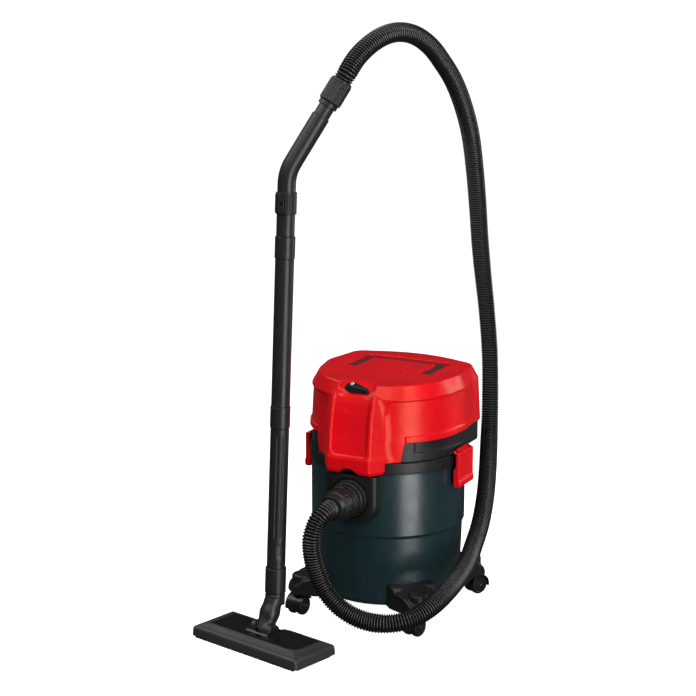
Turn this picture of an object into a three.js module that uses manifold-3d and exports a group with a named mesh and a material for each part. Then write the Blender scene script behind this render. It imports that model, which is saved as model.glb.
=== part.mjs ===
// A 20-litre wet and dry shop vacuum with its hose, wand and floor nozzle.
// Millimetres. +Z up, the floor at z = 0, the hose inlet on the tank's -Y side.
// The body of the vacuum is drawn about the tank's own axis, and the whole
// object is then shifted so that the middle of its footprint is the origin.

import * as THREE from 'three';
import { mergeVertices } from 'three/addons/utils/BufferGeometryUtils.js';
import Module from 'manifold-3d';

const wasm = await Module();
wasm.setup();

// ---- Driving dimensions -------------------------------------------------

const GAP = 0.3;                     // clearance between pieces that touch
const FOOTPRINT_MIDDLE = { x: -34.3, y: -126.94 };

const TANK = { radius: 156, lower: 152, base: 147, bottom: 43, bead: 191, top: 336, wall: 3 };
const COLLAR = { bottom: 321, top: 344.7, radius: 160 };
const INLET = { z: 273, bore: 24.2, face: -172, halfWidth: 58, bottom: 221 };
const BASE = { bottom: 345, top: 385, radius: 154.6, halfWidth: 151.2, back: 142, corner: 46, bulge: 14 };
const COVER = { bottom: 385.4, top: 498, radius: 159, halfWidth: 155.5, back: 147, corner: 50, bulge: 16 };
const CHUTE = { halfWidth: 58, bottom: 323 };
const APRON = { inner: 155.6, outer: 158, bottom: 345.6 };
const LATCH = { x: 166, z: 346.5, halfWidth: 34.5 };
const HANDLE = { inner: 71.5, outer: 93.5, pivotY: 5, pivotZ: 488.5, front: -5, bar: 75, back: 100 };
const KNOB = { x: -6, y: -140.6, z: 486.25, tilt: 25, point: -12 };
const FLOAT = { radius: 20, z: 274 };
const CASTER = { stem: 185, wheel: 20, trail: 11, bracketBottom: 44 };
const TUBE = { outer: 18.2, bell: 19.4, spigot: 15.9, socket: 16.3, bore: 13.8 };
const TOOL = { x: -106, y: -332, heading: -14, wandBack: 36.3, wandUp: 116.7, lean: 2.95 };
const NOZZLE = { halfWidth: 141, halfDepth: 59, pivotY: 4, pivotZ: 32 };
const GRIP = { bendStart: 785, bendRadius: 80, bend: 30, turn: 52, reach: 121, cuff: 56, end: 15.4 };
const HOSE_RADIUS = 19;
const ROUND = 44;                    // sides of the tank's circle

// The hose's route from the inlet cuff, down and round the front of the tank,
// up its right side and over to the cuff on the wand's grip.
const HOSE_ROUTE = [
  [0, -250.3, 273],
  [0, -264, 273],
  [-3, -279, 267.5],
  [-8, -290, 257],
  [-12, -302, 233],
  [-12, -304, 208],
  [-9, -303, 184],
  [-3, -300, 160],
  [5, -297, 137],
  [17, -293, 116],
  [37, -289, 94.5],
  [62, -285, 79],
  [93, -280, 69.5],
  [130, -271.5, 68],
  [157, -256.5, 71.5],
  [176, -236, 78],
  [191, -212, 88],
  [200, -182, 98],
  [203, -145, 107],
  [202, -100, 115.5],
  [197, -41, 130],
  [188, 6, 146.5],
  [178, 64, 176.5],
  [165, 116, 213],
  [149, 164, 253],
  [129, 216, 313],
  [115, 251, 388],
  [100, 279, 485],
  [85, 293, 575],
  [76, 293, 645],
  [72, 284, 715],
  [71, 270, 800],
  [73, 247, 880],
  [77, 213, 955],
  [80, 166, 1020],
  [79, 122, 1070],
  [74, 84, 1106],
  [66, 40, 1142],
  [55, -5, 1165],
  [42, -46, 1173],
  [30, -86, 1168.5],
  [19, -122, 1154.5],
  [7, -155, 1131],
];

// ---- Materials ----------------------------------------------------------

const finish = (color, roughness, metalness = 0) =>
  new THREE.MeshStandardMaterial({ color, roughness, metalness, flatShading: true });

const MATERIALS = {
  tank: () => finish(0x2f434b, 0.38),
  red: () => finish(0xd6121e, 0.22),
  black: () => finish(0x2c2d2c, 0.5),
  hose: () => finish(0x171717, 0.3),
  rubber: () => finish(0x1d1d1d, 0.8),
  bristle: () => finish(0x141414, 0.9),
  steel: () => finish(0xb9bcc0, 0.3, 1),
  alloy: () => finish(0xa5a9ad, 0.4, 1),
  foam: () => finish(0x3c3f41, 1),
  white: () => finish(0xe8e8e4, 0.5),
};

// ---- Solid modelling helpers --------------------------------------------

// A welded manifold with its faces turned outwards.
function toManifold(geometry) {
  const bare = geometry.clone();
  bare.deleteAttribute('normal');
  bare.deleteAttribute('uv');
  const welded = mergeVertices(bare, 1e-4);
  const points = welded.attributes.position.array;
  const index = welded.index.array;
  const kept = [];
  let volume = 0;
  for (let i = 0; i < index.length; i += 3) {
    const [a, b, c] = [index[i], index[i + 1], index[i + 2]];
    if (a === b || b === c || a === c) continue;
    kept.push(a, b, c);
    const va = new THREE.Vector3().fromArray(points, a * 3);
    const vb = new THREE.Vector3().fromArray(points, b * 3);
    const vc = new THREE.Vector3().fromArray(points, c * 3);
    volume += va.dot(vb.cross(vc));
  }
  if (volume < 0) kept.reverse();
  const mesh = new wasm.Mesh({
    numProp: 3,
    vertProperties: new Float32Array(points),
    triVerts: new Uint32Array(kept),
  });
  return new wasm.Manifold(mesh);
}

function toGeometry(manifold) {
  const mesh = manifold.getMesh();
  const geometry = new THREE.BufferGeometry();
  geometry.setAttribute('position', new THREE.BufferAttribute(mesh.vertProperties, 3));
  geometry.setIndex(new THREE.BufferAttribute(mesh.triVerts, 1));
  return geometry;
}

const join = (first, ...rest) =>
  toGeometry(rest.reduce((whole, piece) => whole.add(toManifold(piece)), toManifold(first)));
const cut = (first, ...tools) =>
  toGeometry(tools.reduce((whole, tool) => whole.subtract(toManifold(tool)), toManifold(first)));
const common = (first, second) => toGeometry(toManifold(first).intersect(toManifold(second)));

// ---- Shape helpers ------------------------------------------------------

// A profile of [radius, z] pairs turned about the Z axis.
function turned(profile, segments = 28) {
  const points = profile.map(([radius, z]) => new THREE.Vector2(radius, z));
  const [first] = points;
  const last = points[points.length - 1];
  if (first.x > 0 || last.x > 0) points.push(first.clone());
  return new THREE.LatheGeometry(points, segments).rotateX(Math.PI / 2);
}

const drum = (radius, low, high, segments = 24) =>
  turned([[0, low], [radius, low], [radius, high], [0, high]], segments);
const ring = (inner, outer, low, high, segments = 24) =>
  turned([[inner, low], [outer, low], [outer, high], [inner, high]], segments);

function block(x0, x1, y0, y1, z0, z1) {
  const box = new THREE.BoxGeometry(x1 - x0, y1 - y0, z1 - z0);
  return box.translate((x0 + x1) / 2, (y0 + y1) / 2, (z0 + z1) / 2);
}

const polygon = (points) => new THREE.Shape(points.map(([x, y]) => new THREE.Vector2(x, y)));

// A flat shape drawn in plan and raised from low to high.
function plate(shape, low, high, bevel = 0, steps = 3, curveSegments = 12) {
  const geometry = new THREE.ExtrudeGeometry(shape, {
    depth: high - low - 2 * bevel,
    bevelEnabled: bevel > 0,
    bevelSize: bevel,
    bevelThickness: bevel,
    bevelOffset: -bevel,
    bevelSegments: steps,
    curveSegments,
  });
  return geometry.translate(0, 0, low + bevel);
}

// A side view drawn as (x, z) and given its width along Y.
const slabY = (shape, y0, y1) =>
  plate(shape, 0, y1 - y0).rotateX(Math.PI / 2).translate(0, y1, 0);
// A side view drawn as (y, z) and given its width along X.
const slabX = (shape, x0, x1) =>
  plate(shape, 0, x1 - x0).rotateX(Math.PI / 2).rotateZ(Math.PI / 2).translate(x0, 0, 0);

const ontoX = (geometry) => geometry.rotateY(Math.PI / 2);
const ontoY = (geometry) => geometry.rotateX(Math.PI / 2);

function roundedRectangle(halfWidth, halfDepth, radius) {
  const shape = new THREE.Shape();
  shape.absarc(halfWidth - radius, halfDepth - radius, radius, 0, Math.PI / 2);
  shape.absarc(radius - halfWidth, halfDepth - radius, radius, Math.PI / 2, Math.PI);
  shape.absarc(radius - halfWidth, radius - halfDepth, radius, Math.PI, 1.5 * Math.PI);
  shape.absarc(halfWidth - radius, radius - halfDepth, radius, 1.5 * Math.PI, 2 * Math.PI);
  return shape;
}

// The head seen from above: a circle in front, and at the back a bulging side
// between rounded corners.
function headPlan({ radius, halfWidth, back, corner, bulge }, inset = 0) {
  const r = radius - inset;
  const x = halfWidth - inset;
  const y = back - inset;
  const c = corner - inset;
  const start = Math.acos(x / r);
  const shape = new THREE.Shape();
  shape.absarc(x - c, y - c, c, 0, Math.PI / 2);
  shape.quadraticCurveTo(0, y + 2 * bulge, c - x, y);
  shape.absarc(c - x, y - c, c, Math.PI / 2, Math.PI);
  shape.absarc(0, 0, r, Math.PI - start, 2 * Math.PI + start);
  return shape;
}

// A plan that changes with height, given as [inset, z] levels from the bottom up.
function lofted(planAt, levels, curveSegments) {
  const outline = (inset) => planAt(inset).getPoints(curveSegments);
  const caps = THREE.ShapeUtils.triangulateShape(outline(levels[0][0]), []);
  const rings = levels.map(([inset, z]) => outline(inset).map((p) => [p.x, p.y, z]));
  const count = rings[0].length;
  const top = (rings.length - 1) * count;
  const index = [];
  for (let row = 0; row < top; row += count) {
    for (let i = 0; i < count; i += 1) {
      const next = (i + 1) % count;
      index.push(row + i, row + next, row + count + next);
      index.push(row + i, row + count + next, row + count + i);
    }
  }
  for (const [a, b, c] of caps) index.push(a, c, b, top + a, top + b, top + c);
  const geometry = new THREE.BufferGeometry();
  geometry.setAttribute('position', new THREE.Float32BufferAttribute(rings.flat(2), 3));
  geometry.setIndex(index);
  return geometry;
}

function add(parent, name, geometry, material) {
  const mesh = new THREE.Mesh(geometry, MATERIALS[material]());
  mesh.name = name;
  parent.add(mesh);
  return mesh;
}

function placed(parent, x, y, z, turnZ = 0, turnX = 0) {
  const group = new THREE.Group();
  group.position.set(x, y, z);
  group.rotation.set(THREE.MathUtils.degToRad(turnX), 0, THREE.MathUtils.degToRad(turnZ), 'ZXY');
  parent.add(group);
  return group;
}

// ---- Tank ---------------------------------------------------------------

// Half of the tank's outer side view, from the middle of the floor to the rim.
function tankProfile(offset = 0) {
  const points = [[0, TANK.bottom - offset]];
  const round = 18;
  for (let i = 0; i <= 3; i += 1) {
    const angle = (-90 + 30 * i) * (Math.PI / 180);
    points.push([
      TANK.base - round + (round + offset) * Math.cos(angle),
      TANK.bottom + round + (round + offset) * Math.sin(angle),
    ]);
  }
  points.push([TANK.lower + offset, TANK.bead - 3]);
  points.push([TANK.radius + offset, TANK.bead + 3]);
  points.push([TANK.radius + offset, TANK.top]);
  return points;
}

function tankShell() {
  const outer = tankProfile();
  const inner = tankProfile(-TANK.wall).reverse();
  const shell = turned([...outer, ...inner], ROUND);
  const hole = ontoY(drum(26, 140, 170, 24)).translate(0, 0, INLET.z);
  return cut(shell, hole);
}

function tankCollar() {
  const lip = TANK.top + 0.4;
  return turned([
    [TANK.radius + 0.4, COLLAR.bottom],
    [COLLAR.radius, COLLAR.bottom],
    [COLLAR.radius, COLLAR.top],
    [155, COLLAR.top],
    [155, 340],
    [150.2, 340],
    [150.2, lip],
    [TANK.radius + 0.4, lip],
  ], ROUND);
}

// ---- Hose inlet ---------------------------------------------------------

function inletHousing() {
  const { halfWidth: w, bottom } = INLET;
  const top = COLLAR.bottom - 0.4;
  const shield = new THREE.Shape();
  shield.moveTo(w, top);
  shield.lineTo(-w, top);
  shield.absarc(44 - w, bottom + 44, 44, Math.PI, 1.5 * Math.PI);
  shield.absarc(w - 44, bottom + 44, 44, 1.5 * Math.PI, 2 * Math.PI);
  const body = slabY(shield, INLET.face, -110);
  const tank = drum(TANK.radius + 0.4, 200, 330, ROUND);
  const bore = ontoY(drum(INLET.bore, 100, 200)).translate(0, 0, INLET.z);
  return cut(body, tank, bore);
}

// Turned pieces of the inlet are drawn on the hose axis, outwards from the tank.
const onInlet = (geometry) => ontoY(geometry).translate(0, 0, INLET.z);

function inletSocket() {
  return onInlet(ring(24.6, 35, 172 + GAP, 186.5));
}

function inletLockRing() {
  const body = ring(24.6, 32.5, 187, 211.5);
  const lugs = [0, 90, 180, 270].map((degrees) =>
    block(-5, 5, 31, 36, 189, 209).rotateZ(THREE.MathUtils.degToRad(degrees)));
  return onInlet(join(body, ...lugs));
}

function hoseInletCuff() {
  return onInlet(turned([
    [17, 168],
    [23.6, 168],
    [24, 212],
    [30.5, 212],
    [30, 233],
    [26, 236],
    [24.5, 250],
    [17, 250],
  ]));
}

function inletDeflector() {
  const hood = block(-32, 32, -148.5, -108, 236, 300);
  const hollow = block(-29, 29, -150, -111, 230, 297);
  return cut(hood, hollow);
}

// ---- Casters ------------------------------------------------------------

// A corner's frame has X along the radius through its caster.
function casterBracket() {
  const side = polygon([
    [112, 44], [209, 44], [209, 52], [205, 62], [188, 76], [168, 84], [155, 92], [112, 92],
  ]);
  const plan = polygon([
    [112, -48], [150, -48], [166, -42], [209, -20], [209, 20], [166, 42], [150, 48], [112, 48],
  ]);
  const arm = common(slabY(side, -50, 50), plate(plan, 44, 95));
  const dome = drum(19.5, 44, 84).translate(CASTER.stem, 0, 0);
  const body = join(arm, dome);
  const tank = turned([...tankProfile(0.4), [0, TANK.top]], ROUND);
  const bore = drum(5.4, 40, 76, 10).translate(CASTER.stem, 0, 0);
  return cut(body, tank, bore);
}

// A fork's frame stands under its stem, with the axle along X and the trail along Y.
function casterFork() {
  const web = ontoX(drum(17, -4, 4, 18)).translate(0, CASTER.trail, CASTER.wheel);
  const neck = block(-4, 4, -7, 16, 28, 40);
  const cap = drum(14, 40.5, CASTER.bracketBottom - GAP, 16);
  const stem = drum(5, 42, 72, 10);
  const collar = block(-4, 4, -9, 16, 36, 42);
  const axleHole = ontoX(drum(2.8, -8, 8, 10)).translate(0, CASTER.trail, CASTER.wheel);
  return cut(join(web, neck, collar, cap, stem), axleHole);
}

function casterAxle() {
  return ontoX(drum(2.5, -18, 18, 10)).translate(0, CASTER.trail, CASTER.wheel);
}

function casterWheel(side) {
  const r = CASTER.wheel;
  const wheel = ontoX(turned([
    [2.8, 4.5], [r - 2, 4.5], [r, 6.5], [r, 13], [r - 3, 16.5], [2.8, 17.5],
  ], 20));
  if (side < 0) wheel.rotateZ(Math.PI);
  return wheel.translate(0, CASTER.trail, CASTER.wheel);
}

function addCaster(parent, corner, angle, heading) {
  const radial = placed(parent, 0, 0, 0, angle);
  add(radial, `caster_bracket_${corner}`, casterBracket(), 'black');
  const fork = placed(radial, CASTER.stem, 0, 0, heading - angle);
  add(fork, `caster_fork_${corner}`, casterFork(), 'black');
  add(fork, `caster_axle_${corner}`, casterAxle(), 'steel');
  add(fork, `caster_wheel_a_${corner}`, casterWheel(1), 'rubber');
  add(fork, `caster_wheel_b_${corner}`, casterWheel(-1), 'rubber');
}

// ---- Motor head ---------------------------------------------------------

function headBase() {
  const outer = plate(headPlan(BASE), BASE.bottom, BASE.top, 0, 0, 10);
  const inside = plate(headPlan(BASE, 3.5), BASE.bottom + 4, BASE.top + 1, 0, 0, 10);
  const intake = drum(17, 300, 360);
  const skirt = ring(146, 149.6, 331, BASE.bottom + 1, ROUND);
  const seat = ring(80, 84, 340, BASE.bottom + 1);
  const ear = (side, y) => join(
    block(side * 156 - 10, side * 156 + 10, y - 3.2, y + 3.2, 345.3, 350.7),
    onLatchPin(drum(4.2, -y - 3.2, 3.2 - y, 16), side),
  );
  const ears = [ear(1, 25.5), ear(1, -25.5), ear(-1, 25.5), ear(-1, -25.5)];
  const pins = [1, -1].map((side) => onLatchPin(drum(1.9, -50, 50, 16), side));
  const room = plate(headPlan(BASE, 3.5), BASE.bottom + 4, BASE.top + 1, 0, 0, 10);
  const gland = ontoY(drum(6.3, -170, -130, 20)).translate(-60, 0, 366);
  const rim = drum(BASE.radius - 1.5, BASE.bottom, BASE.bottom + 4, ROUND);
  return cut(join(cut(outer, inside), rim, skirt, seat, ...ears), room, intake, gland, ...pins);
}

const onLatchPin = (geometry, side) => ontoY(geometry).translate(side * LATCH.x, 0, LATCH.z);

// The front of the cover seen from the side, from its feet up to the switch.
const CHUTE_SIDE = [
  [-140, CHUTE.bottom], [-176, CHUTE.bottom], [-180, 330], [-181, 354], [-177, 362],
  [-174, 400], [-168, 440], [-159, 466], [-149, 483], [-130, 493], [-100, 493],
];

function coverChute() {
  const body = slabX(polygon([...CHUTE_SIDE, [-100, 400], [-140, 400]]), -58, 58);
  const base = drum(APRON.inner, APRON.bottom - 1, COVER.bottom, ROUND);
  const below = drum(COLLAR.radius + 2.9, 300, APRON.bottom, ROUND);
  const front = slabX(polygon([
    [-200, 360], [-176, 362], [-169.5, 400], [-163.5, 440], [-157, 462], [-150, 478],
    [-146, 483.7], [-146, 520], [-200, 520],
  ]), -40, 40);
  const notch = ontoY(drum(24, 150, 190, 32)).translate(0, 0, 311);
  return cut(body, base, below, front, notch);
}

// The part of the cover's front that reaches down over the base on both sides of the chute.
function coverApron() {
  const { inner, outer, bottom } = APRON;
  const flat = polygon([[-90, bottom], [90, bottom], [97, 385.5], [98, 390], [-98, 390], [-97, 385.5]]);
  return common(ring(inner, outer, bottom, 388, ROUND), slabY(flat, -170, -60));
}

// The switch's frame lies on the slope at the top of the chute.
const onSlope = (geometry) => geometry
  .rotateX(THREE.MathUtils.degToRad(KNOB.tilt))
  .translate(KNOB.x, KNOB.y, KNOB.z);

function headCover() {
  const plan = (inset) => headPlan(COVER, inset);
  const outer = lofted(plan, [[0, COVER.bottom], [4.8, 472], [17, 494], [21, COVER.top]], 11);
  const tub = block(-102, 102, -18, 108, 469, COVER.top);
  const sill = block(-58, 58, -170, -100, 466, COVER.top);
  const inside = cut(lofted(plan, [[3.5, 370], [8.3, 472], [20, 491], [24, 494]], 9), tub, sill);
  const armSlot = (side) => block(side * 82.5 - 12, side * 82.5 + 12, -9, 103, 482, 500);
  const heel = (side) => block(side * 82.5 - 12, side * 82.5 + 12, -9, 21, 474, 500);
  const barSlot = block(-94, 94, 73, 103, 482, 500);
  const pinHoles = [1, -1].map((side) => handlePin(side, 2.8, 1));
  const exhaust = block(-40, 40, 140, 175, 410, 450);
  const shell = cut(outer, inside);
  const room = lofted(plan, [[3.5, 370], [8.1, 468]], 9);
  const body = join(shell, coverApron(), cut(coverChute(), room));
  const slope = onSlope(block(-34, 46, -70, 40, 0, 60));
  const switchRoom = onSlope(block(-18, 18, -14, 14, -60, -5));
  const shaftHole = onSlope(drum(4.4, -40, 10, 16));
  return cut(
    body, armSlot(1), armSlot(-1), heel(1), heel(-1), barSlot, ...pinHoles,
    exhaust, slope, switchRoom, shaftHole,
  );
}

function handlePin(side, radius = 2.5, extra = 0) {
  const pin = ontoX(drum(radius, 66 - extra, 99 + extra, 16));
  if (side < 0) pin.rotateZ(Math.PI);
  return pin.translate(0, HANDLE.pivotY, HANDLE.pivotZ);
}

function carryHandle() {
  const { inner, outer, front, bar, back } = HANDLE;
  const shape = new THREE.Shape();
  shape.moveTo(inner, front);
  shape.lineTo(outer, front);
  shape.absarc(outer - 14, back - 14, 14, 0, Math.PI / 2);
  shape.absarc(14 - outer, back - 14, 14, Math.PI / 2, Math.PI);
  shape.lineTo(-outer, front);
  shape.lineTo(-inner, front);
  shape.lineTo(-inner, bar);
  shape.lineTo(inner, bar);
  const bow = plate(shape, 484, 493.5, 1.5, 1, 6);
  const holes = [1, -1].map((side) => handlePin(side, 2.8, 1));
  return cut(bow, ...holes);
}

function switchKnob() {
  const shape = new THREE.Shape();
  shape.absarc(0, 0, 13, 0.36 * Math.PI, 1.64 * Math.PI);
  shape.absarc(33, 0, 4.5, -0.4 * Math.PI, 0.4 * Math.PI);
  const grip = plate(shape, 1.5, 13.5, 1.5, 1, 8).rotateZ(THREE.MathUtils.degToRad(KNOB.point));
  return join(grip, drum(4, -15, 3, 20));
}

function switchBody() {
  return block(-15, 15, -11, 11, -38, -16);
}

// A latch's frame sits on its pin, with X outwards and Z up.
const LATCH_SIDE = [
  [-5.5, 9.2], [8, 3.5], [8, -50], [9.8, -54], [9.8, -62], [7.5, -66.5], [-2, -66.5],
  [-5.4, -62], [-5.4, -31], [-3, -29], [-0.5, -25], [-0.5, -2], [-5.5, 4],
];

function latchClip() {
  const w = LATCH.halfWidth;
  const shell = slabY(polygon(LATCH_SIDE), -w, w);
  const hollow = slabY(polygon([[-20, 13.3], [4.9, 2.8], [4.9, -58], [-20, -58]]), 3.5 - w, w - 3.5);
  const eye = ontoY(drum(4.8, -21.5, 21.5, 20));
  const web = block(0, 6, -21.5, 21.5, -4.8, 3);
  const hook = block(-5.3, 6, -14, 14, -35, -31);
  const pin = ontoY(drum(1.9, -30, 30, 16));
  const notches = [-25.5, 25.5].map((y) => block(-20, 4.3, y - 3.6, y + 3.6, -8, 15));
  return cut(join(cut(shell, hollow), eye, web, hook), pin, ...notches);
}

const latchPin = () => ontoY(drum(1.6, -28.7, 28.7, 16));

function exhaustGrille() {
  const flange = block(-45, 45, 162.3, 165.7, 405, 455);
  const neck = block(-39.7, 39.7, 151, 163, 410.3, 449.7);
  const slots = [0, 1, 2, 3, 4].map((i) => block(-37, 37, 140, 175, 411.7 + 8.4 * i, 416.2 + 8.4 * i));
  return cut(join(flange, neck), ...slots);
}

function cordGland() {
  const sleeve = turned([
    [3.7, 144], [6, 144], [6, 153.6], [10, 153.6], [10, 156.5], [7, 157.5], [5.6, 181], [3.7, 181],
  ], 20);
  return ontoY(sleeve).rotateZ(Math.PI).translate(-60, 0, 366);
}

// ---- Motor, fan and filter ----------------------------------------------

function fanHousing() {
  return turned([
    [24, 349.6], [73, 349.6], [73, 383], [20, 383], [20, 381], [70, 381], [70, 352], [24, 352],
  ]);
}

function fan() {
  const back = ring(4.3, 62, 372, 375);
  const hub = ring(4.3, 9, 360, 373);
  const blades = Array.from({ length: 7 }, (_, i) =>
    block(8, 60, -1.2, 1.2, 358, 373).rotateZ((i * 2 * Math.PI) / 7));
  return join(back, hub, ...blades);
}

const motorBody = () => turned([
  [5, 383.5], [38, 383.5], [42, 388], [42, 438], [34, 448], [5, 448],
], 32);
const motorShaft = () => drum(4, 356, 455, 16);

function filterBasket() {
  const cup = turned([
    [0, 250], [61, 250], [61, 341], [66, 341], [66, 344.6], [58, 344.6], [58, 253], [0, 253],
  ], 32);
  const windows = Array.from({ length: 8 }, (_, i) =>
    block(50, 70, -14, 14, 262, 330).rotateZ((i * Math.PI) / 4));
  return cut(cup, ...windows);
}

const filterSleeve = () => ring(61.5, 77, 246, 338, 40);
const headSeal = () => ring(149.9, 154.7, 340.3, COLLAR.top, ROUND);
const floatBall = () => new THREE.SphereGeometry(FLOAT.radius, 16, 10).translate(0, 0, FLOAT.z);

// ---- Wand ---------------------------------------------------------------

// The wand's frame runs up its tubes: z is the distance above the wand's foot.
function extensionTube(low, high) {
  const { outer, bell, spigot, socket, bore } = TUBE;
  return turned([
    [bore, low - 39],
    [spigot, low - 39],
    [spigot, low],
    [outer, low],
    [outer, high - 44],
    [bell, high - 40],
    [bell, high],
    [socket, high],
    [socket, high - 41],
    [bore, high - 45],
  ], 24);
}

function gripPath() {
  const bend = THREE.MathUtils.degToRad(GRIP.bend);
  const points = [new THREE.Vector3(0, 0, 686), new THREE.Vector3(0, 0, 740)];
  for (let i = 0; i <= 6; i += 1) {
    const angle = (bend * i) / 6;
    points.push(new THREE.Vector3(
      GRIP.bendRadius * (1 - Math.cos(angle)),
      0,
      GRIP.bendStart + GRIP.bendRadius * Math.sin(angle),
    ));
  }
  const along = new THREE.Vector3(Math.sin(bend), 0, Math.cos(bend));
  points.push(points[points.length - 1].clone().addScaledVector(along, GRIP.reach));
  const path = new THREE.CurvePath();
  for (let i = 1; i < points.length; i += 1) path.add(new THREE.LineCurve3(points[i - 1], points[i]));
  return { points, along, curve: new THREE.CatmullRomCurve3(points, false, 'centripetal') };
}

function gripTube() {
  const { curve } = gripPath();
  const bar = (radius, from = 0, to = 1) => {
    const circle = new THREE.Shape().absarc(0, 0, radius, 0, 2 * Math.PI);
    const span = new THREE.CatmullRomCurve3(curve.getSpacedPoints(40).slice(from, to === 1 ? 41 : to));
    return new THREE.ExtrudeGeometry(circle, {
      steps: 14, bevelEnabled: false, extrudePath: span, curveSegments: 8,
    });
  };
  const spigot = ring(TUBE.bore, TUBE.spigot, 646, 688, 24);
  const vent = ontoX(drum(5, 0, 30, 16)).rotateZ(Math.PI).translate(0, 0, 748);
  const outside = join(bar(17.5, 0, 38), bar(GRIP.end, 30));
  return cut(join(cut(outside, bar(14)), spigot), vent);
}

function airRing() {
  const body = ring(17.9, 20, 728, 769, 28);
  const ribs = Array.from({ length: 5 }, (_, i) =>
    block(-21.5, -18.9, -1, 1, 731, 766).rotateZ((i - 2) * 0.22 + 0.9));
  const window = ontoX(drum(4, 0, 30, 16)).rotateZ(Math.PI).translate(0, 0, 748);
  return cut(join(body, ...ribs), window);
}

// The cuff's frame starts at the open end of the grip, with z along its axis.
function hoseWandCuff() {
  return turned([
    [15, GAP], [18.8, GAP], [18.8, 9], [22, 12], [22, GRIP.cuff - 7], [20.6, GRIP.cuff - 4],
    [20.6, GRIP.cuff], [15, GRIP.cuff],
  ], 28);
}

// ---- Floor nozzle -------------------------------------------------------

// The neck rises from the nozzle's hinge and bends up into the wand's line.
function nozzleNeck() {
  const lean = THREE.MathUtils.degToRad(TOOL.lean);
  const up = new THREE.Vector3(0, Math.sin(lean), Math.cos(lean));
  const foot = new THREE.Vector3(0, TOOL.wandBack, TOOL.wandUp);
  const top = foot.clone().addScaledVector(up, -6);
  const knee = foot.clone().addScaledVector(up, -22);
  const hinge = new THREE.Vector3(0, NOZZLE.pivotY, NOZZLE.pivotZ);
  const path = new THREE.CatmullRomCurve3([hinge, hinge.clone().lerp(knee, 0.6), knee, top]);
  const stalk = (radius) =>
    new THREE.ExtrudeGeometry(new THREE.Shape().absarc(0, 0, radius, 0, 2 * Math.PI), {
      steps: 8, bevelEnabled: false, extrudePath: path, curveSegments: 8,
    });
  const onWand = (geometry) => geometry.rotateX(-lean).translate(0, foot.y, foot.z);
  const collar = onWand(drum(20.5, -14, 36.7, 28));
  const socket = onWand(drum(TUBE.socket, -5, 40, 24));
  const bore = onWand(drum(12.5, -16, 0, 16));
  const onHinge = (geometry) => geometry.translate(0, NOZZLE.pivotY, NOZZLE.pivotZ);
  const barrel = onHinge(ontoX(drum(17, -26, 26, 28)));
  const chamber = onHinge(ontoX(drum(12.8, -21, 21, 20)));
  const mouth = onHinge(block(-15, 15, -9, 9, -20, 0));
  return cut(join(stalk(16.5), collar, barrel), stalk(12.5), socket, bore, chamber, mouth);
}

function nozzleBody() {
  const { halfWidth: w, halfDepth: d, pivotY, pivotZ } = NOZZLE;
  const rim = plate(roundedRectangle(w, d, 7), 7, 21, 1.5, 1, 3);
  const crown = plate(roundedRectangle(w - 14, d - 12, 14), 9, 38, 11, 1, 3);
  const cradle = plate(roundedRectangle(36, 26, 6), 9, 40, 2, 1, 3).translate(0, pivotY, 0);
  const seat = ontoX(drum(17.6, -26.6, 26.6, 28)).translate(0, pivotY, pivotZ);
  const slot = block(-21, 21, pivotY, 70, 15, 60);
  const above = block(-26.6, 26.6, pivotY - 17.6, pivotY + 17.6, pivotZ, 60);
  const channel = block(-126, 126, -16, 16, 0, 13);
  const duct = block(-17, 17, pivotY - 11, pivotY + 11, 10, 24);
  const pockets = [1, -1].flatMap((right) => [1, -1].map((back) =>
    block(right * 83 - 50, right * 83 + 50, back * 37 - 15, back * 37 + 15, 0, 18)));
  return cut(join(rim, crown, cradle), seat, slot, above, channel, duct, ...pockets);
}

function nozzleSole() {
  const sole = plate(roundedRectangle(NOZZLE.halfWidth - 5, 48, 4), 0, 6.7, 1, 1, 3);
  return cut(sole, block(-124, 124, -14, 14, -1, 8));
}

const brushStrip = (side) =>
  block(-134, 134, side * 53 - 3, side * 53 + 3, 0.4, 6.7);

// ---- Hose ---------------------------------------------------------------

function hose(end) {
  const points = [...HOSE_ROUTE.map(([x, y, z]) => new THREE.Vector3(x, y, z)), ...end];
  const path = new THREE.CatmullRomCurve3(points, false, 'centripetal');
  const section = new THREE.Shape().absarc(0, 0, HOSE_RADIUS, 0, 2 * Math.PI);
  return new THREE.ExtrudeGeometry(section, {
    steps: 80, bevelEnabled: false, extrudePath: path, curveSegments: 5,
  });
}

// ---- Assembly -----------------------------------------------------------

const vacuum = new THREE.Group();
const middle = placed(vacuum, -FOOTPRINT_MIDDLE.x, -FOOTPRINT_MIDDLE.y, 0);

add(middle, 'tank_shell', tankShell(), 'tank');
add(middle, 'tank_collar', tankCollar(), 'black');
add(middle, 'inlet_housing', inletHousing(), 'black');
add(middle, 'inlet_socket', inletSocket(), 'black');
add(middle, 'inlet_lock_ring', inletLockRing(), 'black');
add(middle, 'hose_inlet_cuff', hoseInletCuff(), 'black');
add(middle, 'inlet_deflector', inletDeflector(), 'black');

addCaster(middle, 'front_right', -45, 170.5);
addCaster(middle, 'front_left', -135, 176);
addCaster(middle, 'rear_right', 45, -27);
addCaster(middle, 'rear_left', 135, 20);

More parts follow.
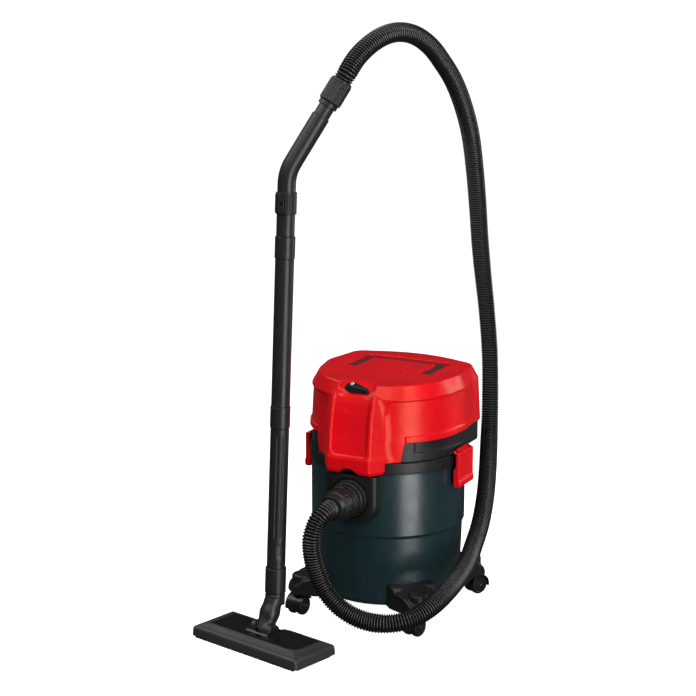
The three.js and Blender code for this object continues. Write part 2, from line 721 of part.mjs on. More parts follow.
add(middle, 'head_base', headBase(), 'black');
add(middle, 'head_cover', headCover(), 'red');
add(middle, 'carry_handle', carryHandle(), 'black');
add(middle, 'handle_pin_right', handlePin(1), 'steel');
add(middle, 'handle_pin_left', handlePin(-1), 'steel');
add(middle, 'exhaust_grille', exhaustGrille(), 'black');
add(middle, 'cord_gland', cordGland(), 'rubber');
add(middle, 'head_seal', headSeal(), 'rubber');
add(middle, 'fan_housing', fanHousing(), 'black');
add(middle, 'fan', fan(), 'alloy');
add(middle, 'motor_body', motorBody(), 'steel');
add(middle, 'motor_shaft', motorShaft(), 'steel');
add(middle, 'filter_basket', filterBasket(), 'black');
add(middle, 'filter_sleeve', filterSleeve(), 'foam');
add(middle, 'float_ball', floatBall(), 'white');

const switchFrame = placed(middle, KNOB.x, KNOB.y, KNOB.z, 0, KNOB.tilt);
add(switchFrame, 'switch_knob', switchKnob(), 'black');
add(switchFrame, 'switch_body', switchBody(), 'black');

for (const [side, turn] of [['right', 0], ['left', 180]]) {
  const swing = placed(middle, turn ? -LATCH.x : LATCH.x, 0, LATCH.z, turn);
  add(swing, `latch_${side}`, latchClip(), 'red');
  add(swing, `latch_pin_${side}`, latchPin(), 'steel');
}

const tool = placed(middle, TOOL.x, TOOL.y, 0, TOOL.heading);
add(tool, 'nozzle_neck', nozzleNeck(), 'black');
add(tool, 'nozzle_body', nozzleBody(), 'black');
add(tool, 'nozzle_sole', nozzleSole(), 'black');
add(tool, 'brush_strip_front', brushStrip(-1), 'bristle');
add(tool, 'brush_strip_rear', brushStrip(1), 'bristle');

const wand = placed(tool, 0, TOOL.wandBack, TOOL.wandUp, 0, -TOOL.lean);
add(wand, 'lower_tube', extensionTube(37, 357.8), 'black');
add(wand, 'upper_tube', extensionTube(358.1, 685.2), 'black');
const grip = placed(wand, 0, 0, 0, GRIP.turn);
add(grip, 'grip_tube', gripTube(), 'black');
add(grip, 'air_ring', airRing(), 'black');
const { points: gripPoints } = gripPath();
const gripEnd = gripPoints[gripPoints.length - 1];
const cuffFrame = new THREE.Group();
cuffFrame.position.copy(gripEnd);
cuffFrame.rotation.y = THREE.MathUtils.degToRad(GRIP.bend);
grip.add(cuffFrame);
add(cuffFrame, 'hose_wand_cuff', hoseWandCuff(), 'black');

vacuum.updateMatrixWorld(true);
const hoseEnd = [16, GAP].map((above) =>
  middle.worldToLocal(cuffFrame.localToWorld(new THREE.Vector3(0, 0, GRIP.cuff + above))));
add(middle, 'hose', hose(hoseEnd), 'hose');

export default vacuum;
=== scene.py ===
import math

import bmesh
import bpy
import numpy as np
from mathutils import Matrix, Vector


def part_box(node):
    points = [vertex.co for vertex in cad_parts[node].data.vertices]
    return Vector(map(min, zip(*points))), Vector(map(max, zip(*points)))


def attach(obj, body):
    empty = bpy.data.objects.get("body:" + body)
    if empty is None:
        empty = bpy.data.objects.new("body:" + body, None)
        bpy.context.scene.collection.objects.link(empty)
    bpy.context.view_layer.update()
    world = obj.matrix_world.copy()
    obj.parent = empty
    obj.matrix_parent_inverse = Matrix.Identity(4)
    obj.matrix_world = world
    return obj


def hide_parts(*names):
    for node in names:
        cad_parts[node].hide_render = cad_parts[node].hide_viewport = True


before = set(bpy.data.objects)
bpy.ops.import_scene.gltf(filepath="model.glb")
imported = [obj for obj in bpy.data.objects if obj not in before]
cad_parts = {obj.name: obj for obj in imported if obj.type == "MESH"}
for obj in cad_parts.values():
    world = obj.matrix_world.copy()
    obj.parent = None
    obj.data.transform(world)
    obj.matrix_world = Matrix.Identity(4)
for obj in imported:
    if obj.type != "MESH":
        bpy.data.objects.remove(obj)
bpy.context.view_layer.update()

# Sizes are millimetres in the frames below, as in the CAD. The vacuum's frame has
# its origin on the floor under the tank's axis, the hose inlet on its -Y side.

GAP = 0.3
TANK_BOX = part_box("tank_shell")
TANK_MIDDLE = (Vector(TANK_BOX[0]) + Vector(TANK_BOX[1])) / 2

BELLY = {"radius": 156.0, "lower": 152.0, "base": 147.0, "bottom": 43.0, "bead": 191.0, "top": 336.0}
INLET = {"z": 273.0, "bore": 24.2, "face": -172.0, "half_width": 58.0, "bottom": 221.0}
BASE = {"radius": 154.6, "half_width": 151.2, "back": 142.0, "corner": 46.0, "bulge": 14.0}
COVER = {"radius": 159.0, "half_width": 155.5, "back": 147.0, "corner": 50.0, "bulge": 16.0}
COVER_BOTTOM, COVER_TOP, CHAMFER = 385.4, 498.0, 472.0
LATCH = {"x": 166.0, "z": 346.5, "half_width": 34.5}
HANDLE = {"inner": 71.5, "outer": 93.5, "front": -5.0, "bar": 75.0, "back": 100.0}
KNOB = {"x": -6.0, "y": -140.6, "z": 486.25, "tilt": 25.0, "point": -12.0}
CASTER = {"stem": 185.0, "wheel": 20.0, "trail": 11.0}
TUBE = {"outer": 18.2, "bell": 19.4, "spigot": 15.9, "socket": 16.3, "bore": 13.8}
TOOL = {"x": -106.0, "y": -332.0, "heading": -14.0, "wand_back": 36.3, "wand_up": 116.7, "lean": 2.95}
NOZZLE = {"half_width": 141.0, "half_depth": 59.0, "pivot_y": 4.0, "pivot_z": 32.0}
GRIP = {
    "bend_start": 785.0, "bend_radius": 80.0, "bend": 30.0, "turn": 52.0, "reach": 121.0,
    "cuff": 56.0,
}
HOSE = {"radius": 19.0, "valley": 15.7, "pitch": 5.3, "sides": 40, "rings_a_rib": 6}

# Each caster: its angle round the tank, and the way its wheels trail.
CORNERS = {
    "front_right": (-45, 170.5), "front_left": (-135, 176),
    "rear_right": (45, -27), "rear_left": (135, 20),
}

CAMERA = {"place": (1.7307, -3.2955, 1.4308), "pitch": 76.877, "heading": 27.597, "lens": 100.9}

# Each light: where it stands, what it faces, its width and height, all in metres, and its watts.
LIGHTS = {
    "key": ((2.62, -1.46, 0.5), (0, 0, 0.3), 1.3, 2.8, 62),
    "crown": ((2.0, -0.75, 2.7), (0, 0, 0.5), 0.7, 0.6, 15),
    "rim": ((2.1, 2.3, 1.2), (0, 0, 0.6), 0.8, 2.2, 26),
    "left": ((-1.8, -1.2, 3.0), (0, 0, 0.5), 1.2, 1.2, 30),
    "back": ((-2.9, 0.7, 3.2), (0, 0, 0.4), 1.6, 1.6, 22),
    "front": ((0.3, -2.6, 3.4), (0, 0, 0.5), 3.0, 2.0, 64),
}
SKY = 0.05

# The hose's route from the inlet cuff, down and round the front of the tank,
# up its right side and over to the cuff on the wand's grip.
HOSE_ROUTE = [
    (0, -250.3, 273), (0, -264, 273), (-3, -279, 267.5), (-8, -290, 257), (-12, -302, 233),
    (-12, -304, 208), (-9, -303, 184), (-3, -300, 160), (5, -297, 137), (17, -293, 116),
    (37, -289, 94.5), (62, -285, 79), (93, -280, 69.5), (130, -271.5, 68), (157, -256.5, 71.5),
    (176, -236, 78), (191, -212, 88), (200, -182, 98), (203, -145, 107), (202, -100, 115.5),
    (197, -41, 130), (188, 6, 146.5), (178, 64, 176.5), (165, 116, 213), (149, 164, 253),
    (129, 216, 313), (115, 251, 388), (100, 279, 485), (85, 293, 575), (76, 293, 645),
    (72, 284, 715), (71, 270, 800), (73, 247, 880), (77, 213, 955), (80, 166, 1020),
    (79, 122, 1070), (74, 84, 1106), (66, 40, 1142), (55, -5, 1165), (42, -46, 1173),
    (30, -86, 1168.5), (19, -122, 1154.5), (7, -155, 1131),
    (-0.4, -181.33, 1103.18), (-6.76, -186.84, 1089.92),
]


# ---- Frames -------------------------------------------------------------

def placed(parent, x, y, z, turn=0.0, tilt=0.0):
    """A frame inside another: moved, turned about Z, then tilted about X, in degrees."""
    return (
        parent
        @ Matrix.Translation((x, y, z))
        @ Matrix.Rotation(math.radians(turn), 4, "Z")
        @ Matrix.Rotation(math.radians(tilt), 4, "X")
    )


VACUUM = Matrix.Translation((TANK_MIDDLE.x, TANK_MIDDLE.y, 0)) @ Matrix.Scale(0.001, 4)
ON_INLET = placed(VACUUM, 0, 0, INLET["z"], 0, 90)
SLOPE = placed(VACUUM, KNOB["x"], KNOB["y"], KNOB["z"], 0, KNOB["tilt"])
SWITCH = placed(SLOPE, 0, 0, 0, KNOB["point"])
TOOL_FRAME = placed(VACUUM, TOOL["x"], TOOL["y"], 0, TOOL["heading"])
WAND = placed(TOOL_FRAME, 0, TOOL["wand_back"], TOOL["wand_up"], 0, -TOOL["lean"])
GRIP_FRAME = placed(WAND, 0, 0, 0, GRIP["turn"])
BEND = math.radians(GRIP["bend"])
GRIP_END = (
    GRIP["bend_radius"] * (1 - math.cos(BEND)) + GRIP["reach"] * math.sin(BEND),
    0,
    GRIP["bend_start"] + GRIP["bend_radius"] * math.sin(BEND) + GRIP["reach"] * math.cos(BEND),
)
CUFF_FRAME = GRIP_FRAME @ Matrix.Translation(GRIP_END) @ Matrix.Rotation(BEND, 4, "Y")


# ---- Distance fields: negative inside a shape ---------------------------

def joined(a, b, fillet):
    """Either of two shapes, with a round fillet in the corner between them."""
    reach = np.hypot(np.maximum(fillet - a, 0), np.maximum(fillet - b, 0))
    return np.maximum(fillet, np.minimum(a, b)) - reach


def common(a, b, edge):
    """Where two shapes overlap, with a rounded edge."""
    reach = np.hypot(np.maximum(edge + a, 0), np.maximum(edge + b, 0))
    return np.minimum(-edge, np.maximum(a, b)) + reach


def without(a, b, edge):
    return common(a, -b, edge)


def rectangle(u, v, u0, u1, v0, v1, corner=0.0):
    across = np.abs(u - (u0 + u1) / 2) - (u1 - u0) / 2 + corner
    along = np.abs(v - (v0 + v1) / 2) - (v1 - v0) / 2 + corner
    outside = np.hypot(np.maximum(across, 0), np.maximum(along, 0))
    return outside + np.minimum(np.maximum(across, along), 0) - corner


def slab(flat, w, low, high, edge):
    """A flat shape given a thickness along w, with rounded edges."""
    return common(flat, np.abs(w - (low + high) / 2) - (high - low) / 2, edge)


def box(x, y, z, x0, x1, y0, y1, z0, z1, edge):
    return slab(rectangle(x, y, x0, x1, y0, y1, edge), z, z0, z1, edge)


def drum(u, v, w, radius, low, high, edge):
    return slab(np.hypot(u, v) - radius, w, low, high, edge)


def rod(x, y, z, start, end, first, last):
    """A round bar with a radius at each end."""
    line = np.subtract(end, start)
    px, py, pz = x - start[0], y - start[1], z - start[2]
    along = np.clip((px * line[0] + py * line[1] + pz * line[2]) / (line @ line), 0, 1)
    dx, dy, dz = px - along * line[0], py - along * line[1], pz - along * line[2]
    return np.sqrt(dx * dx + dy * dy + dz * dz) - (first + (last - first) * along)


def outline(u, v, points, corner=0.0):
    """Distance to a polygon given anticlockwise, its corners rounded."""
    points = inset(points, corner) if corner else points
    nearest = np.full(np.broadcast(u, v).shape, np.inf)
    inside = np.zeros(nearest.shape, bool)
    for (au, av), (bu, bv) in zip(points, points[1:] + points[:1]):
        eu, ev = bu - au, bv - av
        wu, wv = u - au, v - av
        along = np.clip((wu * eu + wv * ev) / (eu * eu + ev * ev), 0, 1)
        nearest = np.minimum(nearest, (wu - eu * along) ** 2 + (wv - ev * along) ** 2)
        if av != bv:
            inside ^= ((av > v) != (bv > v)) & (u < au + eu * (v - av) / ev)
    return np.where(inside, -1.0, 1.0) * np.sqrt(nearest) - corner


def inset(points, amount):
    """A polygon's corners moved inwards along their bisectors."""
    moved = []
    for i, here in enumerate(points):
        before = Vector(here) - Vector(points[i - 1])
        after = Vector(points[(i + 1) % len(points)]) - Vector(here)
        before.normalize()
        after.normalize()
        first, second = Vector((-before.y, before.x)), Vector((-after.y, after.x))
        middle = first + second
        moved.append(tuple(Vector(here) + middle * (amount * 2 / middle.length_squared)))
    return moved


def step(value, start, end):
    """0 before start, 1 after end, smooth between."""
    t = np.clip((value - start) / (end - start), 0, 1)
    return t * t * (3 - 2 * t)


# ---- Meshes -------------------------------------------------------------

CUBE = np.array([(i, j, k) for i in (0, 1) for j in (0, 1) for k in (0, 1)])
CUBE_EDGES = [(a, b) for a in range(8) for b in range(a + 1, 8) if abs(CUBE[a] - CUBE[b]).sum() == 1]
NEWTON_STEPS = 4


def slope_of(field, points, reach):
    """A field's value and gradient at points."""
    value = field(*points.T)
    gradient = np.empty(points.shape)
    for axis in range(3):
        shift = np.zeros(3)
        shift[axis] = reach
        gradient[:, axis] = (field(*(points + shift).T) - field(*(points - shift).T)) / (2 * reach)
    return value, gradient


def skin_mesh(field, low, high, pitch):
    """The closed surface where a field is zero, as points and quads."""
    low = np.array(low, float) - 1.5 * pitch
    counts = np.ceil((np.array(high) + 1.5 * pitch - low) / pitch).astype(int) + 1
    axes = [low[i] + pitch * np.arange(counts[i]) for i in range(3)]
    x, y, z = (a.reshape([-1 if i == j else 1 for j in range(3)]) for i, a in enumerate(axes))
    values = np.ascontiguousarray(np.broadcast_to(field(x, y, z), counts), dtype=np.float32)
    inside = values < 0
    cells = counts - 1
    total = np.zeros(cells, np.int8)
    for i, j, k in CUBE:
        total += inside[i:i + cells[0], j:j + cells[1], k:k + cells[2]]
    mixed = (total > 0) & (total < 8)
    number = np.full(cells, -1, np.int64)
    at = np.argwhere(mixed)
    number[mixed] = np.arange(len(at))
    corner = np.stack([values[tuple((at + c).T)] for c in CUBE], 1).astype(float)
    middle = np.zeros((len(at), 3))
    crossings = np.zeros(len(at))
    for a, b in CUBE_EDGES:
        crossed = (corner[:, a] < 0) != (corner[:, b] < 0)
        along = np.where(crossed, corner[:, a] / np.where(crossed, corner[:, a] - corner[:, b], 1), 0)
        middle += crossed[:, None] * (CUBE[a] + along[:, None] * (CUBE[b] - CUBE[a]))
        crossings += crossed
    points = low + pitch * (at + middle / crossings[:, None])
    for _ in range(NEWTON_STEPS):
        value, gradient = slope_of(field, points, 0.05 * pitch)
        move = (value / np.maximum((gradient ** 2).sum(1), 0.05))[:, None] * gradient
        length = np.maximum(np.linalg.norm(move, axis=1, keepdims=True), 1e-9)
        points -= move * np.minimum(1, 0.5 * pitch / length)
    quads = []
    for axis in range(3):
        b, c = (axis + 1) % 3, (axis + 2) % 3
        first = np.take(inside, range(cells[axis]), axis)
        second = np.take(inside, range(1, counts[axis]), axis)
        crossing = np.argwhere(first != second)
        crossing = crossing[(crossing[:, b] > 0) & (crossing[:, b] < cells[b])]
        crossing = crossing[(crossing[:, c] > 0) & (crossing[:, c] < cells[c])]
        around = []
        for db, dc in ((-1, -1), (0, -1), (0, 0), (-1, 0)):
            cell = crossing.copy()
            cell[:, b] += db
            cell[:, c] += dc
            around.append(number[tuple(cell.T)])
        quad = np.stack(around, 1)
        flip = ~inside[tuple(crossing.T)]
        quad[flip] = quad[flip][:, ::-1]
        quads.append(quad)
    return points, np.concatenate(quads)


def mesh_object(name, points, faces, place):
    """An object whose mesh lies in the row frame, smooth shaded."""
    moved = np.c_[np.asarray(points, float), np.ones(len(points))] @ np.array(place).T
    mesh = bpy.data.meshes.new(name)
    mesh.from_pydata(moved[:, :3].tolist(), [], [list(map(int, f)) for f in faces])
    mesh.polygons.foreach_set("use_smooth", [True] * len(mesh.polygons))
    mesh.validate()
    mesh.update()
    obj = bpy.data.objects.new(name, mesh)
    bpy.context.scene.collection.objects.link(obj)
    return obj


def skin(name, field, low, high, pitch, place):
    return mesh_object(name, *skin_mesh(field, low, high, pitch), place)


ARC_STEP = math.radians(14)
SUPPORT = 0.6


def filleted(corners, closed):
    """Corners (radius, height, fillet) as a line of points with rounded corners."""
    line = []
    for i, (u, v, fillet) in enumerate(corners):
        here = Vector((u, v))
        if fillet <= 0 or (not closed and i in (0, len(corners) - 1)):
            line.append((u, v))
            continue
        before = Vector(corners[i - 1][:2]) - here
        after = Vector(corners[(i + 1) % len(corners)][:2]) - here
        half = before.angle(after) / 2
        reach = min(fillet / math.tan(half), 0.45 * before.length, 0.45 * after.length)
        radius = reach * math.tan(half)
        before, after = before.normalized(), after.normalized()
        centre = here + (before + after).normalized() * (radius / math.sin(half))
        start, end = here + before * reach, here + after * reach
        first = math.atan2(*(start - centre).yx)
        sweep = math.atan2(*(end - centre).yx) - first
        sweep = (sweep + math.pi) % (2 * math.pi) - math.pi
        steps = max(2, math.ceil(abs(sweep) / ARC_STEP))
        line.append(tuple(start + before * min(SUPPORT, reach * 0.1 + 0.05)))
        for k in range(steps + 1):
            angle = first + sweep * k / steps
            line.append((centre.x + radius * math.cos(angle), centre.y + radius * math.sin(angle)))
        line.append(tuple(end + after * min(SUPPORT, reach * 0.1 + 0.05)))
    return line


def weld(obj, distance=1e-7):
    mesh = bmesh.new()
    mesh.from_mesh(obj.data)
    bmesh.ops.remove_doubles(mesh, verts=mesh.verts, dist=distance)
    bmesh.ops.recalc_face_normals(mesh, faces=mesh.faces)
    mesh.to_mesh(obj.data)
    mesh.free()
    obj.data.polygons.foreach_set("use_smooth", [True] * len(obj.data.polygons))
    return obj


def turned(name, corners, place, sides=72, relief=None, stations=None):
    """A profile of (radius, height, fillet) turned about the frame's Z axis.
    relief(radius, height, angle) gives how much the surface stands in or out."""
    closed = corners[0][0] > 0 or corners[-1][0] > 0
    line = np.array(filleted(corners, closed))
    if stations:
        line = finer(line, stations, closed)
    angle = np.arange(sides) * 2 * math.pi / sides
    radius = np.repeat(line[:, :1], sides, 1)
    height = np.repeat(line[:, 1:], sides, 1)
    if relief:
        radius = radius + relief(radius, height, angle[None, :])
    points = np.stack([radius * np.cos(angle), radius * np.sin(angle), height], 2).reshape(-1, 3)
    rows = len(line)
    faces = []
    for i in range(rows if closed else rows - 1):
        for j in range(sides):
            k = (j + 1) % sides
            n = (i + 1) % rows
            faces.append((i * sides + j, i * sides + k, n * sides + k, n * sides + j))
    return weld(mesh_object(name, points, faces, place))


def finer(line, longest, closed):
    """More points on a line's long straight stretches."""
    ends = np.roll(line, -1, 0) if closed else np.r_[line[1:], line[-1:]]
    out = []
    for a, b in zip(line, ends):
        parts = max(1, math.ceil(np.linalg.norm(b - a) / longest))
        out += [a + (b - a) * k / parts for k in range(parts)]
    return np.array(out)


def swept(name, path, radii, place, sides=48):
    """A round bar along a path, with a radius at each of the path's points."""
    path = np.asarray(path, float)
    ahead = np.gradient(path, axis=0)
    ahead /= np.linalg.norm(ahead, axis=1, keepdims=True)
    side = np.cross(ahead[0], (0.3, 0.2, 1.0))
    sides_at = []
    for direction in ahead:
        side = side - direction * (side @ direction)
        side = side / np.linalg.norm(side)
        sides_at.append(side)
    across = np.array(sides_at)
    other = np.cross(ahead, across)
    angle = np.arange(sides) * 2 * math.pi / sides
    turn = angle[None, :, None]
    circle = np.cos(turn) * across[:, None] + np.sin(turn) * other[:, None]
    points = (path[:, None] + circle * np.asarray(radii)[:, None, None]).reshape(-1, 3)
    faces = []
    for i in range(len(path) - 1):
        for j in range(sides):
            k = (j + 1) % sides
            faces.append((i * sides + j, i * sides + k, (i + 1) * sides + k, (i + 1) * sides + j))
    last = (len(path) - 1) * sides
    faces.append(list(range(sides))[::-1])
    faces.append([last + j for j in range(sides)])
    return mesh_object(name, points, faces, place)


def curve_through(points, spacing):
    """Evenly spaced points on a centripetal Catmull-Rom curve through the given ones."""
    p = [np.array(q, float) for q in points]
    p = [2 * p[0] - p[1], *p, 2 * p[-1] - p[-2]]
    dense = []
    for a, b, c, d in zip(p, p[1:], p[2:], p[3:]):
        ta, tb, tc = (math.sqrt(np.linalg.norm(v)) for v in (b - a, c - b, d - c))
        out = ((b - a) / ta - (c - a) / (ta + tb) + (c - b) / tb) * tb
        into = ((c - b) / tb - (d - b) / (tb + tc) + (d - c) / tc) * tb
        for t in np.arange(0, 1, 0.02):
            dense.append(
                b * (2 * t ** 3 - 3 * t ** 2 + 1) + out * (t ** 3 - 2 * t ** 2 + t)
                + c * (3 * t ** 2 - 2 * t ** 3) + into * (t ** 3 - t ** 2)
            )
    dense = np.array([*dense, p[-2]])
    along = np.r_[0, np.cumsum(np.linalg.norm(np.diff(dense, axis=0), axis=1))]
    stations = np.linspace(0, along[-1], max(2, round(along[-1] / spacing) + 1))
    return np.stack([np.interp(stations, along, dense[:, i]) for i in range(3)], 1), along[-1]


# ---- Materials ----------------------------------------------------------

class Nodes:
    """Short names for building one material's nodes."""

    def __init__(self, name):
        self.material = bpy.data.materials.new(name)
        self.material.use_nodes = True
        self.tree = self.material.node_tree
        self.shader = self.tree.nodes["Principled BSDF"]
        self.object_space = self.node("ShaderNodeTexCoord").outputs["Object"]

    def node(self, kind, inputs=None, **settings):
        made = self.tree.nodes.new(kind)
        for key, value in settings.items():
            setattr(made, key, value)
        for key, value in (inputs or {}).items():
            if isinstance(value, bpy.types.NodeSocket):
                self.tree.links.new(value, made.inputs[key])
            else:
                made.inputs[key].default_value = value
        return made

    def stretched(self, scale):
        return self.node("ShaderNodeMapping", {"Vector": self.object_space, "Scale": scale}).outputs[0]

    def noise(self, scale, detail=3.0, vector=None, roughness=0.5):
        inputs = {"Scale": scale, "Detail": detail, "Roughness": roughness}
        inputs["Vector"] = vector or self.object_space
        return self.node("ShaderNodeTexNoise", inputs).outputs["Fac"]

    def ranged(self, value, low, high, to_low, to_high):
        inputs = {"Value": value, "From Min": low, "From Max": high, "To Min": to_low, "To Max": to_high}
        return self.node("ShaderNodeMapRange", inputs).outputs[0]

    def mixed(self, factor, first, second):
        return self.node(
            "ShaderNodeMix", {0: factor, 6: first, 7: second}, data_type="RGBA"
        ).outputs[2]

    def math(self, operation, first, second):
        return self.node("ShaderNodeMath", {0: first, 1: second}, operation=operation).outputs[0]

    def bump(self, height, strength, distance, below=None):
        inputs = {"Height": height, "Strength": strength, "Distance": distance}
        if below:
            inputs["Normal"] = below
        return self.node("ShaderNodeBump", inputs).outputs[0]

    def link(self, value, socket):
        self.tree.links.new(value, self.shader.inputs[socket])


def shade(colour, factor):
    return (*[min(1.0, c * factor) for c in colour[:3]], 1.0)


def moulded(name, colour, gloss, grain, depth, worn=1.6, specular=0.5, tint=(1.0, 1.0, 1.0, 1.0)):
    """Moulded plastic: a fine spark-eroded grain, clouded gloss, faint scuffs and paler edges.
    grain is per metre, depth is in metres, and worn is how much paler an edge is."""
    n = Nodes(name)
    clouds = n.noise(9.0, 2.0)
    tone = n.mixed(n.ranged(clouds, 0.35, 0.65, 0.0, 1.0), shade(colour, 0.9), shade(colour, 1.1))
    edge = n.ranged(n.node("ShaderNodeNewGeometry").outputs["Pointiness"], 0.51, 0.58, 0.0, 0.35)
    n.link(n.mixed(edge, tone, shade(colour, worn)), "Base Color")
    scuffs = n.noise(18.0, 2.0, n.stretched((1.0, 4.0, 2.0)))
    scuffed = n.ranged(scuffs, 0.5, 0.8, 0.0, 0.04)
    cloudy = n.ranged(n.noise(38.0, 3.0), 0.3, 0.7, gloss - 0.035, gloss + 0.035)
    n.link(n.math("ADD", cloudy, scuffed), "Roughness")
    n.link(n.bump(n.noise(grain, 2.0), 0.06, depth), "Normal")
    n.shader.inputs["Specular IOR Level"].default_value = specular
    n.shader.inputs["Specular Tint"].default_value = tint
    return n.material


def metal(name, colour, gloss, lines):
    """Ground or pressed metal with fine drawn lines."""
    n = Nodes(name)
    drawn = n.noise(60.0, 4.0, n.stretched(lines))
    n.link(n.mixed(drawn, shade(colour, 0.8), shade(colour, 1.15)), "Base Color")
    n.link(n.ranged(drawn, 0.3, 0.7, gloss - 0.08, gloss + 0.1), "Roughness")
    n.link(n.bump(drawn, 0.3, 0.0001), "Normal")
    n.shader.inputs["Metallic"].default_value = 1.0
    return n.material


def corrugated():
    """The hose's plastic: glossy crests between dull, dusty valleys, the valleys' colour darkened near
    black as painted shade.
    """
    n = Nodes("hose_plastic")
    crest = n.ranged(n.node("ShaderNodeNewGeometry").outputs["Pointiness"], 0.46, 0.56, 0.0, 1.0)
    dust = n.noise(30.0, 3.0)
    # Painted shade: the valleys' colour is near black, the crests' a dark grey.
    n.link(n.mixed(crest, (0.0015, 0.0015, 0.0015, 1), (0.014, 0.014, 0.0135, 1)), "Base Color")
    dusty = n.ranged(dust, 0.3, 0.7, 0.0, 0.06)
    n.link(n.math("ADD", n.ranged(crest, 0, 1, 0.75, 0.2), dusty), "Roughness")
    n.link(n.ranged(crest, 0, 1, 0.05, 0.8), "Specular IOR Level")
    n.link(n.bump(n.noise(700.0, 2.0), 0.06, 0.0001), "Normal")
    return n.material


def nozzle_finish():
    """Satin grey plastic, with glossy black on everything above the nozzle's sloping shoulders."""
    n = Nodes("nozzle_plastic")
    height = n.node("ShaderNodeSeparateXYZ", {"Vector": n.object_space}).outputs["Z"]
    panel = n.ranged(height, 0.0310, 0.0317, 0.0, 1.0)
    clouds = n.noise(9.0, 2.0)
    satin = n.mixed(clouds, (0.032, 0.033, 0.0325, 1), (0.044, 0.045, 0.0445, 1))
    n.link(n.mixed(panel, satin, (0.007, 0.007, 0.007, 1)), "Base Color")
    cloudy = n.ranged(n.noise(38.0, 3.0), 0.3, 0.7, -0.03, 0.03)
    n.link(n.math("ADD", n.ranged(panel, 0, 1, 0.36, 0.16), cloudy), "Roughness")
    n.link(n.bump(n.noise(900.0, 2.0), 0.06, 0.00005), "Normal")
    n.shader.inputs["Specular IOR Level"].default_value = 0.35
    return n.material


def foam():
    """Open-cell filter foam."""
    n = Nodes("filter_foam")
    inputs = {"Vector": n.object_space, "Scale": 420.0}
    cells = n.node("ShaderNodeTexVoronoi", inputs).outputs["Distance"]
    wall = n.ranged(cells, 0.1, 0.7, 0.0, 1.0)
    n.link(n.mixed(wall, (0.035, 0.036, 0.038, 1), (0.12, 0.123, 0.127, 1)), "Base Color")
    n.link(n.bump(cells, 0.9, 0.0012), "Normal")
    n.link(n.ranged(n.noise(60.0), 0.3, 0.7, 0.85, 1.0), "Roughness")
    return n.material


def bristle():
    n = Nodes("bristle")
    strands = n.noise(140.0, 3.0, n.stretched((9.0, 9.0, 0.4)))
    n.link(n.mixed(strands, (0.006, 0.006, 0.006, 1), (0.05, 0.05, 0.048, 1)), "Base Color")
    n.link(n.bump(strands, 0.8, 0.0006), "Normal")
    n.link(n.ranged(strands, 0.3, 0.7, 0.45, 0.8), "Roughness")
    return n.material


def pale_floor():
    n = Nodes("floor")
    n.link(n.mixed(n.noise(1.3, 2.0), (0.90, 0.90, 0.90, 1), (0.93, 0.93, 0.93, 1)), "Base Color")
    n.shader.inputs["Roughness"].default_value = 0.8
    n.shader.inputs["Specular IOR Level"].default_value = 0.1
    n.shader.inputs["Emission Color"].default_value = (1, 1, 1, 1)
    n.shader.inputs["Emission Strength"].default_value = 1.0
    return n.material


# The red plastic's highlights are orange.
ORANGE = (1.0, 0.60, 0.38, 1.0)
TANK_PAINT = moulded("tank_plastic", (0.0085, 0.0280, 0.0330), 0.29, 900.0, 0.00005, 1.3, 0.8)
RED = moulded("red_plastic", (0.84, 0.004, 0.012), 0.30, 900.0, 0.00005, 1.1, 0.45, ORANGE)
BLACK = moulded("black_plastic", (0.012, 0.012, 0.012), 0.40, 1100.0, 0.0003, 2.0, 0.4)
SATIN = moulded("tube_plastic", (0.017, 0.017, 0.0165), 0.36, 900.0, 0.0002, 1.8, 0.45)
GLOSS = nozzle_finish()
DARK_GREY = moulded("handle_plastic", (0.045, 0.036, 0.038), 0.5, 800.0, 0.0005, 1.5, 0.35)
HOSE_PLASTIC = corrugated()
WHEEL = moulded("wheel_plastic", (0.010, 0.010, 0.010), 0.34, 700.0, 0.0003, 1.8, 0.4)
RUBBER = moulded("rubber", (0.014, 0.014, 0.014), 0.72, 600.0, 0.001, 1.6, 0.3)
WHITE = moulded("float_plastic", (0.78, 0.78, 0.75), 0.4, 600.0, 0.0005, 1.05)
STEEL = metal("steel", (0.62, 0.63, 0.64), 0.3, (40.0, 2.0, 2.0))
MOTOR_STEEL = metal("motor_steel", (0.42, 0.43, 0.44), 0.42, (1.0, 1.0, 60.0))
ALLOY = metal("fan_alloy", (0.66, 0.67, 0.68), 0.38, (12.0, 12.0, 2.0))
FOAM = foam()
BRISTLE = bristle()
FLOOR = pale_floor()


def finish(obj, material, body, nodes=()):
    """Gives a piece its material and its body, and hides what it stands for."""
    obj.data.materials.clear()
    obj.data.materials.append(material)
    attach(obj, body)
    if nodes:
        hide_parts(*nodes)
    return obj


# ---- Camera and hose ----------------------------------------------------

def make_camera():
    data = bpy.data.cameras.new("camera")
    data.lens = CAMERA["lens"]
    data.sensor_width = 36.0
    camera = bpy.data.objects.new("camera", data)
    camera.location = CAMERA["place"]
    camera.rotation_euler = (math.radians(CAMERA["pitch"]), 0, math.radians(CAMERA["heading"]))
    bpy.context.scene.collection.objects.link(camera)
    bpy.context.scene.camera = camera


def make_hose():
    """A corrugated hose: round ribs a few millimetres apart."""
    path, length = curve_through(HOSE_ROUTE, HOSE["pitch"] / HOSE["rings_a_rib"])
    along = np.linspace(0, length, len(path))
    rib = 0.5 - 0.5 * np.cos(2 * math.pi * along / HOSE["pitch"])
    radii = HOSE["valley"] + (HOSE["radius"] - HOSE["valley"]) * rib
    obj = swept("hose_corrugated", path, radii, VACUUM, HOSE["sides"])
    finish(obj, HOSE_PLASTIC, "vacuum", ["hose"])
    centreline, _ = curve_through(HOSE_ROUTE, 8.0)


make_camera()
make_hose()


# ---- Tank ---------------------------------------------------------------

